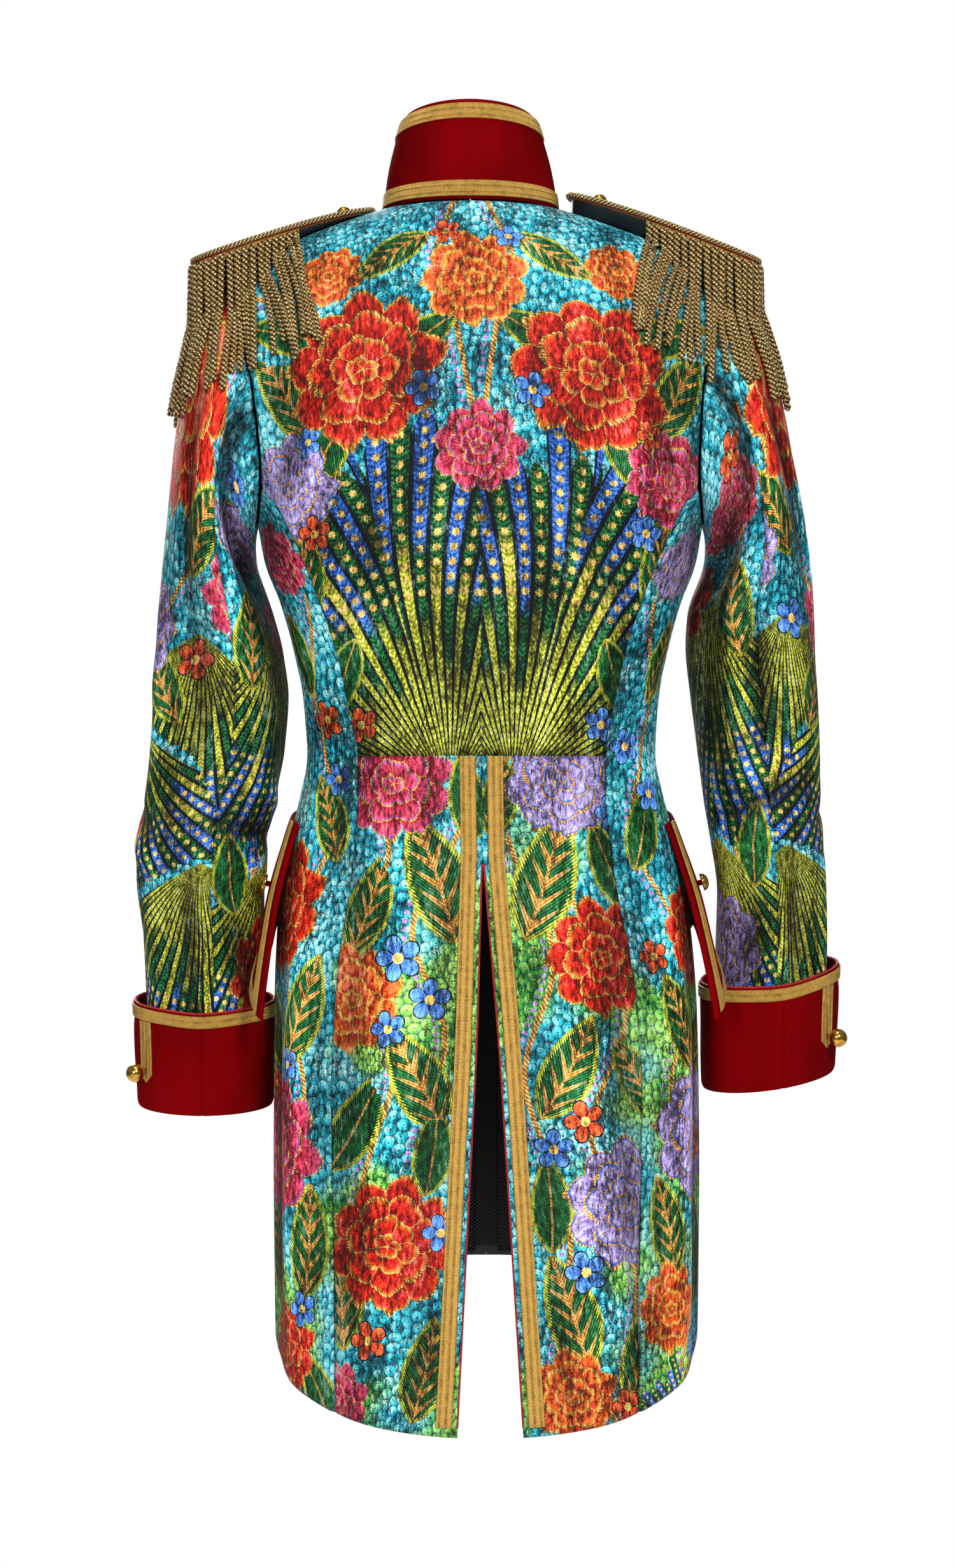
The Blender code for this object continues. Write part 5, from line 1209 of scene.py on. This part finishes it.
def collarSurface(turn, up):
    # Ruled from the neck seam to an ellipse above it, swelled between by sin(pi * up).
    turn, up = np.broadcast_arrays(np.asarray(turn, float), np.asarray(up, float))
    side, share = np.where(turn < 0, -1, 1), np.abs(turn)
    base = np.zeros(turn.shape + (3,))
    for sign in sides.values():
        behind = torso(sign, "back", np.clip(2 * share, 0, 1), 0.0)
        ahead = torso(sign, "front", np.clip(2 - 2 * share, 0, 1), 0.0)
        base += np.where((side == sign)[..., None], np.where((share <= 0.5)[..., None], behind, ahead), 0)
    rear, aside, size = np.cos(share * math.pi), side * np.sin(share * math.pi), collarCut
    deep = np.where(rear > 0, size["back"], -size["front"])
    climb = np.where(rear > 0, size["backTop"] - size["sideTop"], size["sideTop"] - size["frontTop"])
    top = stack(aside * size["halfWidth"] + lean["x"][-1], deep * rear, size["sideTop"] + rear * climb)
    swell = size["swell"] * np.sin(math.pi * np.clip(up, 0, 1))
    rise = size["gap"] + (1 - size["gap"]) * up
    return base + (top - base) * rise[..., None] + stack(aside, rear, 0 * aside) * swell[..., None]


def makeCollar():
    # A velvet band lined in black, with braid along its top and its foot.
    size, high, reach = collarCut, collarCut["backTop"] - backRows["z"][0], 0.998
    turns = np.linspace(-reach, reach, 181)[None, :]
    ups = (1 - paced(high, 2.4))[:, None]
    grid, out = collarSurface(turns, ups), normals(collarSurface, turns, ups, -1)
    cut = cutOf(grid, 90, 0)
    creases = [(-46, -30, -30, -44, 8, 0.7), (40, -36, 62, -26, 8, 0.6), (6, -34, 26, -40, 7, -0.5),
        (-20, -38, 4, -30, 6, 0.4)]
    height = foldHeight(cut, creases) + edgeRoll(grid, (0.6, 0.6, 0.5, 0.8))
    clothShell("collar_velvet", grid + out * height[..., None], out, size["thick"], [redVelvet, lining], cut,
               "collar")
    across = np.linspace(0, 1, 31)[None, :]
    turns = np.linspace(-reach, reach, 260)[:, None]
    for name, top in (("top", 1 - size["edge"] / high), ("bottom", (size["foot"] + size["braid"]) / high)):
        ups = top - across * size["braid"] / high
        facing = normals(collarSurface, turns, ups, -1)
        band("collar_braid_%s_woven" % name, collarSurface(turns, ups), facing, "collar_braid_" + name)


makeCollar()


# Cuffs

cuffCut = {"flare": 2.0, "lip": 0.78, "thick": 2.4, "braid": (1.6, 11.0), "tabTurn": 36, "tabWide": 14.0,
           "tabLong": 47.0, "seam": {"left": 90.0, "right": 81.0}, "dip": 2.2, "piping": 0.9, "button": 7.0}


def cuffSurface(sideName, turn, down):
    # An ellipse square to the forearm, down in millimetres from its top edge, flared a little at the top.
    sizes, arm = cuffs[sideName], sleeves[sideName]
    turn, down = np.broadcast_arrays(np.asarray(turn, float), np.asarray(down, float))
    middle, z, angle = (sizes["top"] + sizes["bottom"]) / 2, sizes["top"] - down, np.radians(turn)
    flare = cuffCut["flare"] * (1 - down / (sizes["top"] - sizes["bottom"]))
    a, b = (sizes["wide"] + flare) * np.cos(angle), (sizes["deep"] + flare) * np.sin(angle)
    roll = math.radians(float(read(arm, "roll", middle)))
    slope = float(read(arm, "y", middle + 30) - read(arm, "y", middle - 30)) / 60
    tilt = math.atan(slope)
    x, y = float(read(arm, "x", middle)), float(read(arm, "y", middle)) + (z - middle) * slope
    point = stack(x + a * math.cos(roll), y + b * math.cos(tilt), z - a * math.sin(roll) - b * math.sin(tilt))
    point[..., 0] *= sides[sideName]
    return point


def cuffTop(sideName, turn):
    # How far the top edge dips at the seam.
    away = (np.asarray(turn, float) - cuffCut["seam"][sideName] + 180) % 360 - 180
    return cuffCut["dip"] * np.exp(-(away / 26) ** 2)


def makeCuff(sideName, side):
    # The turned-up cuff, its lip under the sleeve's end, then braid, tab, button and piping.
    size, long = cuffCut, cuffs[sideName]["top"] - cuffs[sideName]["bottom"]
    seam = size["seam"][sideName]
    beside = seam + np.array([-2.2, -1.4, -0.8, -0.3, 0.3, 0.8, 1.4, 2.2])
    turns = np.sort(np.concatenate([np.linspace(0, 360, 120, endpoint=False), beside]))
    shares = [[0, 0.01, 0.025], np.linspace(0.05, 0.93, 26), [0.955, 0.975, 0.99, 1.0]]
    shares = np.concatenate(shares)[:, None]
    start = cuffTop(sideName, turns)[None, :]
    downs, at = start + (long - start) * shares, partial(cuffSurface, sideName)
    grid, out = at(turns[None, :], downs), normals(at, turns[None, :], downs, -side, du=0.5, dv=0.5)
    around = np.radians(turns)[None, :]
    soft = 0.8 * np.sin(around * 2 + 0.6) * np.sin(shares * 3.0)
    soft = soft + 0.5 * np.sin(around * 5 + shares * 4.0) * np.sin(shares * math.pi)
    away = (turns - seam)[None, :]
    valley = 0.5 * np.exp(-((np.abs(away) - 4.0) / 2.2) ** 2) - 1.1 * np.exp(-away ** 2)
    roll = -1.1 * np.clip((shares - 0.95) / 0.05, 0, 1) ** 2
    roll -= 0.6 * np.clip((0.03 - shares) / 0.03, 0, 1) ** 2
    quiet = np.clip((downs - 12.5) / 6, 0, 1)
    grid = grid + out * ((soft + valley) * quiet + valley * (1 - quiet) * 0.3 + roll)[..., None]
    middle = grid[-1].mean(axis=0)
    up = unit(np.cross(grid[-1, 40] - middle, grid[-1, 10] - middle))
    up = up * np.sign(up[2])
    steps = np.linspace(1, size["lip"], 8)[1:, None, None]
    tuck = np.sin(np.clip((1 - steps) / 0.10, 0, 1) * math.pi / 2)
    lip = middle + (grid[-1] - middle)[None] * steps - up * (0.9 * tuck)
    inner = np.concatenate([grid - out * size["thick"], lip + up * size["thick"]])
    inner[len(grid) - 1] = grid[-1] - out[-1] * size["thick"] + up * size["thick"]
    shell, shellOut = np.concatenate([grid, lip]), np.concatenate([out, np.broadcast_to(-up, lip.shape)])
    clothShell("cuff_%s_velvet" % sideName, shell, shellOut, size["thick"], [redVelvet, redVelvet],
               cutOf(shell), "cuff_" + sideName, ring=True, lip=inner)
    turns, across = np.linspace(0, 360, 320, endpoint=False)[:, None], np.linspace(0, 1, 31)[None, :]
    downs = cuffTop(sideName, turns) + size["braid"][0] + across * (size["braid"][1] - size["braid"][0])
    band("cuff_braid_%s_woven" % sideName, at(turns, downs), normals(at, turns, downs, -side, du=0.5, dv=0.5),
         "cuff_braid_" + sideName, ribs=4, closed=True)
    half = math.degrees(size["tabWide"] / 2 / armRadius)
    turns = size["tabTurn"] + (across * 2 - 1) * half
    begin = size["braid"][1] + 0.5
    downs = begin + np.linspace(0, 1, 60)[:, None] * (size["tabLong"] - 7.0 * np.abs(across * 2 - 1) ** 1.2)
    tab = normals(at, turns, downs, -side, du=0.5, dv=0.5)
    band("cuff_tab_%s_woven" % sideName, at(turns, downs), tab, "cuff_tab_" + sideName, ribs=5)
    seat, normal = at(size["tabTurn"], begin + size["tabLong"] - 9.0), tab[50, 15]
    lathe("cuff_button_%s_gilt" % sideName, seat + normal * 1.5, normal, ballProfile(size["button"]), gilt,
          "cuff_button_" + sideName)
    turns = np.linspace(0, 360, 240, endpoint=False)
    tops = cuffTop(sideName, turns)
    edge = at(turns, tops) - normals(at, turns, tops, -side, du=0.5, dv=0.5) * 0.9
    cordPiece("cuff_piping_" + sideName, edge, size["piping"], piping, closed=True)


for sideName, side in sides.items():
    makeCuff(sideName, side)
print("collar and cuffs sewn")


# Pocket flaps

flapCut = {"behind": -38.0, "ahead": 92.0, "top": -456.0, "rise": 0.10, "hollow": 88.0, "point": 48.0,
           "skew": -0.08, "thick": 2.4, "lift": 0.9, "row": 205.0, "braidIn": 3.0, "braidWide": 8.0,
           "button": (0.2, 0.4), "radius": 7.0}
flapStand = rowsOf("across left right", (0.0, 18, 22), (0.14, 18, 22), (0.26, 12, 16), (0.38, 4, 8),
    (0.62, 3, 6), (0.8, 6, 8), (1.0, 10, 12))


def hip(side, around, station):
    # The body at a distance round the hip from the side seam, forward positive, as a share of a row's length.
    behind = torso(side, "back", 1 + np.minimum(around, 0) / flapCut["row"], station)
    ahead = torso(side, "front", 1 - np.maximum(around, 0) / flapCut["row"], station)
    return np.where((around < 0)[..., None], behind, ahead)


def flapLong(across):
    # A long point at the rear corner and the front one, |cos|^1.5, with a hollow between.
    return flapCut["hollow"] + flapCut["point"] * np.abs(np.cos(math.pi * np.asarray(across, float))) ** 1.5


def flapSurface(sideName, across, down):
    # The hip's own surface moved out, further towards the lower rear corner.
    size, side = flapCut, sides[sideName]
    across, down = np.broadcast_arrays(np.asarray(across, float), np.asarray(down, float))
    around = size["behind"] + across * (size["ahead"] - size["behind"]) + size["skew"] * down * (1 - across)
    z = size["top"] + size["rise"] * (around - size["behind"]) - down
    fall = (heights["waist"] - z) / (heights["waist"] - heights["hemSide"])
    station = waistline + fall * (hemline - waistline)
    out = normals(partial(hip, side), around, station, side, du=1.0)
    stand = read(flapStand, sideName, across) * np.clip(down / flapLong(0.0), 0, 1) ** 1.1
    return hip(side, around, station) + out * (size["thick"] + size["lift"] + stand)[..., None]


def makeFlap(sideName, side):
    # A velvet flap with a soft bow, its braid turned along three edges with mitred corners, and a button.
    size = flapCut
    wide, at = size["ahead"] - size["behind"], partial(flapSurface, sideName)
    across = paced(wide, 2.6)[None, :]
    shares = paced(120, 2.6)[:, None]
    downs = flapLong(across) * shares
    grid, out = at(across, downs), normals(at, across + 0 * downs, downs, side, dv=0.5)
    cut = cutOf(grid)
    waves = [(30, -20, 40, -110, 14, 0.8), (70, -30, 80, -90, 16, -0.7), (106, -30, 110, -120, 12, 0.6),
        (12, -60, 30, -120, 10, -0.6)]
    height = foldHeight(cut, waves) * np.clip(shares * 4, 0, 1) + edgeRoll(grid, (0.6, 0.6, 0.3, 0.6))
    clothShell("pocket_flap_%s_velvet" % sideName, grid + out * height[..., None], out, size["thick"],
               [redVelvet, lining], cut, "pocket_flap_" + sideName)
    inset = (size["braidIn"] + np.linspace(0, 1, 25) * size["braidWide"])[None, :] / wide

    def lower(u, away):  # a line at an even distance from the lower edge, allowing for its slope
        slope = (flapLong(u + 0.01) - flapLong(u - 0.01)) / 0.02 / wide
        return flapLong(u) - away * wide * np.sqrt(1 + slope ** 2)
    corner = lower(inset, inset)
    run = np.linspace(0, 1, 60)[:, None]
    mid = inset + np.linspace(0, 1, 110)[1:-1, None] * (1 - 2 * inset)
    legs = [(inset + 0 * run, corner * run), (mid, lower(mid, inset)),
            (1 - inset + 0 * run, lower(1 - inset, inset) * (1 - run))]
    u, v = [np.concatenate(parts) for parts in zip(*legs)]
    base, facing = at(u, v), normals(at, u, v, side, dv=0.5)
    band("flap_braid_%s_woven" % sideName, base, facing, "flap_braid_" + sideName, ribs=4,
         thick=1.1, lift=1.1)
    u, v = size["button"][0], flapLong(size["button"][0]) * size["button"][1]
    spot, facing = at(u, v), normals(at, np.array(u), np.array(v), side, dv=0.5)
    lathe("flap_button_%s_gilt" % sideName, spot + facing * 0.6, facing, domeProfile(size["radius"], 0.75),
          gilt, "flap_button_" + sideName)


for sideName, side in sides.items():
    makeFlap(sideName, side)
print("flaps sewn")


# Braid and piping at the vent

ventTrim = {"in": 3.8, "wide": 12.0, "ribs": 5, "piping": 0.8, "pipingTop": -486.0}


def makeVent(sideName, side):
    # Braid down the centre back beside the vent, with piping along the vent's edge.
    rows = np.linspace(waistline + 0.0005, 2.99, 230)
    height = torso(side, "back", 0.1, rows)[..., 2]
    edge = 0.2 + np.maximum(0, heights["ventTop"] - height) * ventSlope[sideName]
    inner = alongAt(side, "back", rows, edge + ventTrim["in"])[:, None]
    outer = alongAt(side, "back", rows, edge + (ventTrim["in"] + ventTrim["wide"]))[:, None]
    u = inner + (outer - inner) * np.linspace(0, 1, 6 * ventTrim["ribs"] + 1)[None, :]
    station = rows[:, None]
    band("vent_braid_%s_woven" % sideName, torso(side, "back", u, station),
         torsoNormals(side, "back", u, station), "vent_braid_" + sideName, ribs=ventTrim["ribs"], lift=0.35)
    rows = rows[height < ventTrim["pipingTop"]]
    height = torso(side, "back", 0.1, rows)[..., 2]
    edge = 0.3 + (heights["ventTop"] - height) * ventSlope[sideName]
    u = alongAt(side, "back", rows, edge)
    path = torso(side, "back", u, rows) - torsoNormals(side, "back", u, rows) * 1.0
    cordPiece("vent_piping_" + sideName, path, ventTrim["piping"], piping)


for sideName, side in sides.items():
    makeVent(sideName, side)


# Buttons and facing of the closed front

frontButtons = {"stations": (0.8, 1.16, 1.478, 1.86, 2.15, 2.43), "in": 12.0, "radius": 7.5, "dome": 0.6}
underlap = {"half": 9.0, "behind": 2.1, "thick": 0.5}


def makeFrontButtons():
    # Low domes down the left front, at an even distance from its edge.
    for number, station in enumerate(frontButtons["stations"]):
        along = alongAt(1, "front", station, frontButtons["in"])
        facing = torsoNormals(1, "front", along, np.array([station]))[0]
        seat = torso(1, "front", along, np.array([station]))[0] + facing * 0.5
        name = "front_button_%d" % (number + 1)
        dome = domeProfile(frontButtons["radius"], frontButtons["dome"])
        lathe(name + "_gilt", seat, facing, dome, gilt, name)


makeFrontButtons()


def makeUnderlap():
    # The fronts lap at the centre: a narrow facing lies behind their edges, so that no light comes through.
    rows = rowMarks((0.004, 60), (waistline, 60), (hemline - 0.004, 1))
    left = alongAt(1, "front", rows, underlap["half"])
    across = np.linspace(-1, 1, 13)
    grid = np.stack([torso(1 if a >= 0 else -1, "front", left * abs(a), rows) for a in across], axis=1)
    out = np.stack([torsoNormals(1 if a >= 0 else -1, "front", left * abs(a), rows) for a in across], axis=1)
    clothShell("front_underlap", grid - out * underlap["behind"], out, underlap["thick"],
               [lining], cutOf(grid))


makeUnderlap()


# Shoulder boards, rope and fringe

boards = {
    "left": {"innerX": 84.0, "innerZ": 3.0, "outerX": 216.0, "outerZ": -36.5},
    "right": {"innerX": 68.0, "innerZ": 14.0, "outerX": 208.0, "outerZ": -37.0}}
board = {"y": -3.0, "thick": 3.0, "arch": 3.5, "sag": 0.0022, "pad": 18.0, "rest": 0.35, "button": 5.5,
         "piping": (0.55, 0.9, 0.75), "thread": (0.45, -0.1, 0.28)}  # out, up, radius
boardOutline = rowsOf("where along half", (0.00, 0.000, 0), (0.03, 0.010, 10), (0.06, 0.045, 17),
    (0.10, 0.120, 22), (0.20, 0.400, 25), (0.26, 0.530, 31), (0.31, 0.650, 37), (0.36, 0.780, 39),
    (0.41, 0.890, 35), (0.45, 0.960, 26), (0.48, 0.993, 13), (0.50, 1.000, 0))
rope = {"radius": 2.0, "clear": 0.3, "strands": 3, "offset": 1.02, "thin": 0.98, "pitch": 9.5}
fringe = {"from": 0.40, "strip": 5.0, "out": 1.0, "clear": 3.0, "strand": 1.52, "offset": 1.46, "pitch": 8.0,
          "step": 1.15, "uneven": 5.4, "gap": 5.9, "sway": 3.0, "rows": ((2.2, 0.0, 1), (-2.8, -6.0, 2))}
fringeDrop = {
    "left": rowsOf("along long", (0.00, 84), (0.25, 98), (0.45, 112), (0.55, 112), (0.75, 94), (1.00, 84)),
    "right": rowsOf("along long", (0.00, 82), (0.25, 96), (0.45, 100), (0.55, 98), (0.75, 92), (1.00, 84))}


def boardLine(sideName, along):
    # The board's middle line, a low arch from the collar to beyond the shoulder.
    ends, along = boards[sideName], np.asarray(along, float)
    z = ends["innerZ"] + along * (ends["outerZ"] - ends["innerZ"]) + board["arch"] * 4 * along * (1 - along)
    return stack((ends["innerX"] + along * (ends["outerX"] - ends["innerX"])) * sides[sideName],
                 board["y"] + 0 * along, z)


def boardEdge(sideName, where, out=0.0, up=0.0):
    # A point beside the board's outline: where 0 is the inner end, 0.5 the outer one, and back to 1.
    def outline(at):  # the edge itself, bent down at both sides by the sag
        at = np.mod(at, 1)
        near = np.minimum(at, 1 - at)
        half = read(boardOutline, "half", near)
        point = boardLine(sideName, read(boardOutline, "along", near))
        point[..., 1] += np.where(at < 0.5, 1, -1) * half
        point[..., 2] -= board["sag"] * half ** 2
        return point
    where = np.asarray(where, float)
    step = outline(where + 0.004) - outline(where - 0.004)
    aside = unit(stack(step[..., 1], -step[..., 0], 0) * -sides[sideName])
    return outline(where) + aside * out + np.array([0, 0, up])


def dressedTree(sideName):
    # One search tree of the cloth that a board rests on and its fringe hangs over.
    points, faces = [], []
    for name in ("back_body", "front_" + sideName, "side_back_" + sideName, "sleeve_upper_" + sideName,
                 "sleeve_under_" + sideName):
        mesh = bpy.data.objects[name + "_cloth"].data
        count = len(points)
        points += [tuple(v.co) for v in mesh.vertices]
        faces += [[i + count for i in p.vertices] for p in mesh.polygons if p.material_index == 0]
    return BVHTree.FromPolygons(points, faces)


def makeBoard(sideName, tree):
    # Velvet over a stiff board, a black padded underside that rests on the shoulder, red piping on the edge.
    wheres = np.concatenate([[0.008], np.linspace(0.02, 0.48, 56), [0.492]])
    shares = np.linspace(-1, 1, 33)
    half = read(boardOutline, "half", wheres)
    across = shares * half[:, None]
    middle = boardLine(sideName, read(boardOutline, "along", wheres))
    grid = middle[:, None] + stack(0, across, -board["sag"] * across ** 2)
    down = Vector((0, 0, -1))
    room = [[(tree.ray_cast(Vector(point) * mm, down)[3] or 0) / mm for point in row] for row in grid]
    room = np.min([np.roll(room, shift, axis=0) for shift in (-2, -1, 0, 1, 2)], axis=0)
    pad = np.clip(room - board["rest"], 0, board["pad"] * (1 - np.abs(shares) ** 3))
    pad = np.minimum(pad, (np.roll(pad, 1, axis=0) + pad + np.roll(pad, -1, axis=0)) / 3)
    rise = board["thick"] + 0.5 * (1 - shares[None, :] ** 8)
    top, under = grid + stack(0, 0, rise), grid - stack(0, 0, pad)
    rows, columns = grid.shape[:2]
    faces = gridFaces(rows, columns)
    a, b, c = (top.reshape(-1, 3)[faces[:, i]] for i in (0, 1, 2))
    if np.cross(b - a, c - a)[:, 2].sum() < 0:
        faces = faces[:, ::-1]
    count = rows * columns
    rim = rimFaces(faces, count)
    slots = np.concatenate([np.zeros(len(faces)), np.ones(len(faces) + len(rim))])
    points, faces = np.concatenate([top, under]).reshape(-1, 3), [faces, faces[:, ::-1] + count, rim]
    faces = np.concatenate(faces)
    made = addPiece("epaulette_board_%s_velvet" % sideName, points, faces, [redVelvet, lining],
                    "epaulette_board_" + sideName, slots=slots)
    where = np.linspace(0, 1, 300, endpoint=False)
    for kind, finish, slot, count in (("piping", piping, "red_velvet", 8),
                                      ("thread", goldBraid, "gold_braid", 6)):
        out, up, radius = board[kind]
        cordPiece("epaulette_%s_%s" % (kind, sideName), boardEdge(sideName, where, out, up), radius, finish,
                  closed=True, count=count)
    slope = boardLine(sideName, 0.2) - boardLine(sideName, 0.1)
    normal = unit(np.cross(slope, (0, 1, 0)))
    normal = normal * np.sign(normal[2])
    seat = boardLine(sideName, 0.15) + np.array([0, 0, board["thick"] + 0.7])
    lathe("epaulette_button_%s_gilt" % sideName, seat, normal, domeProfile(board["button"], 0.8), gilt,
          "epaulette_button_" + sideName)


def twist(path, radius, offset, strands, pitch, sidesCount=6, start=0.0, closed=False):
    # Strands wound round a path: each middle line turns once in a pitch; points and faces of all strands.
    run = lengths(path)
    points, faces, places = [], [], []
    if closed:
        pitch = (run[-1] + np.linalg.norm(path[0] - path[-1])) / round(run[-1] / pitch)
    for strand in range(strands):
        angle = 2 * math.pi * (run / pitch + strand / strands) + start
        step = unit(np.gradient(path, axis=0))
        side = unit(np.cross(step, (0.31, 0.95, 0.05) if not closed else (0.0, 0.0, 1.0)))
        rise = np.cross(side, step)
        middle = path + offset * (np.cos(angle)[:, None] * side + np.sin(angle)[:, None] * rise)
        tangent = unit(np.gradient(middle, axis=0))
        side = unit(side - tangent * np.sum(side * tangent, axis=1, keepdims=True))
        rise = np.cross(side, tangent)
        around = np.linspace(0, 2 * math.pi, sidesCount, endpoint=False)[None, :, None]
        rings = middle[:, None] + radius * (np.cos(around) * side[:, None] + np.sin(around) * rise[:, None])
        if not closed:
            rings[0] = middle[0] + (rings[0] - middle[0]) * 0.3
            rings[-1] = middle[-1] + (rings[-1] - middle[-1]) * 0.35
        a, b, c = rings[2, 0], rings[2, 1], rings[3, 0]
        flip = np.cross(b - a, c - a) @ (a - middle[2]) < 0
        made = [face[::-1] if flip else face for face in tubeFaces(len(path), sidesCount, closed)]
        count = sum(len(p) for p in points)
        points.append(rings.reshape(-1, 3))
        faces += [[i + count for i in face] for face in made]
        # This measure sets the bullion cord's painted shade and painted light.
        proud = 0.5 + 0.5 * np.cos(around[..., 0] - angle[:, None])  # 1 on a strand's back, 0 where two meet
        places.append(np.stack(np.broadcast_arrays(proud, run[:, None] * mm), axis=-1).reshape(-1, 2))
    return np.concatenate(points), faces, np.concatenate(places)


def makeRope(sideName):
    # Three strands laid round the board's outline, evenly spaced along it.
    where = np.linspace(0, 1, 1400, endpoint=False)
    path = boardEdge(sideName, where, out=rope["radius"] + rope["clear"], up=board["thick"])
    run = lengths(path)
    even = np.interp(np.linspace(0, run[-1], 430), run, where)
    path = boardEdge(sideName, even, out=rope["radius"] + rope["clear"], up=board["thick"])
    points, faces, places = twist(path[:-1], rope["thin"], rope["offset"], rope["strands"], rope["pitch"],
                                  7, closed=True)
    addPiece("epaulette_rope_%s_twisted" % sideName, points, faces, [bullion], "epaulette_rope_" + sideName,
             {"run": (places, False)})


def hang(root, aside, long, phase, tree):
    # Straight down from the root with a slight sway, moved off the board until clear of the cloth under it.
    count = int(long / 4.0)
    line, spot = [Vector(root)], Vector(root)
    for number in range(count):
        drop = (number + 1) / count
        spot = Vector((spot[0], spot[1], root[2] - long * drop))
        for attempt in range(3):
            near, facing = tree.find_nearest(spot * mm)[:2]
            short = fringe["clear"] + 0.02 - (spot - near / mm).dot(facing)
            toward = facing.dot(aside)
            if short > 0:
                spot = spot + (aside * (short / toward) if toward > 0.35 else facing * short)
        line.append(spot.copy())
    line = np.array(line)
    share, sway = np.linspace(0, 1, len(line)), fringe["sway"]
    line[:, 0] += sway * np.sin(share * 3.2 + phase) * share
    line[:, 1] += sway * 0.6 * np.sin(share * 2.6 + phase * 1.7) * share
    at = np.linspace(0, 1, max(20, int(long / fringe["step"])))
    knots = np.linspace(0, 1, len(line))
    return np.stack([smooth(knots, line[:, i], at) for i in range(3)], axis=-1)


def makeFringe(sideName, tree):
    # Cords of two twisted strands in two staggered rows under a narrow heading.
    marks = np.linspace(fringe["from"] / 2, 1 - fringe["from"] / 2, 801)
    path = boardEdge(sideName, marks, out=fringe["out"])
    run = lengths(path)
    count = int(run[-1] / fringe["gap"])
    points, faces, places, total = [], [], [], 0
    for row, (shift, drop, each) in enumerate(fringe["rows"]):
        out, up = fringe["out"] + shift, -1.0 - row * 1.5
        for number in range(0, count - row, each):
            share = (number + 0.5 + row * 0.5) / count
            spot = np.interp(share * run[-1], run, marks)
            root = boardEdge(sideName, spot, out=out, up=up)
            aside = boardEdge(sideName, spot, out=out + 1.0, up=up) - root
            wave = math.sin(number * 2.3 + row * 1.1) + 0.6 * math.sin(number * 5.1 + row * 2.7)
            long = float(read(fringeDrop[sideName], "long", share)) + drop + fringe["uneven"] * wave
            line = hang(root, Vector(aside), long, number * 1.9 + row, tree)
            made = twist(line, fringe["strand"], fringe["offset"], 2, fringe["pitch"], 6, start=number * 1.3)
            points.append(made[0])
            faces += [[i + total for i in face] for face in made[1]]
            places.append(made[2])
            total += len(made[0])
    maps = {"run": (np.concatenate(places), False)}
    addPiece("fringe_%s_cords" % sideName, np.concatenate(points), faces, [bullion], "fringe_" + sideName,
             maps)
    where = np.interp(np.linspace(0, run[-1], 260), run, marks)[:, None]
    ups = np.linspace(0.2, -fringe["strip"] + 0.5, 19)
    base = np.stack([boardEdge(sideName, where[:, 0], fringe["out"] - 0.6, up) for up in ups], axis=1)
    near, far = [boardEdge(sideName, where[:, 0], away, 0.0) for away in (1.0, 2.0)]
    out = unit(far - near)[:, None] + 0 * base
    band("fringe_heading_" + sideName, base, out, None, ribs=3, thick=0.8, lift=0.2)


for sideName in sides:
    cloth = dressedTree(sideName)
    makeBoard(sideName, cloth)
    makeRope(sideName)
    makeFringe(sideName, cloth)
print("shoulder boards and fringe hung")


# Stage

def makeStage():
    # A plain pale floor, well below the hanging coat.
    wide = room["wide"] / 2
    paper, shader, n = newFinish("matPaper", Roughness=0.9, Specular_IOR_Level=0.1)
    grain = n("TexNoise", {}, n("TexCoord", {}).outputs["Object"], 4.0, 2.0, 0.5)
    connect(paper, shader, n("Mix", rgba, grain, room["paper"], "#ffffff"))
    mesh = bpy.data.meshes.new("floor")
    mesh.from_pydata([(x * wide, y * wide, room["floor"]) for x, y in ((-1, -1), (1, -1), (1, 1), (-1, 1))],
                     [], [(0, 1, 2, 3)])
    mesh.materials.append(paper)
    floor = bpy.data.objects.new("floor", mesh)
    bpy.context.scene.collection.objects.link(floor)


makeStage()

print("finished")
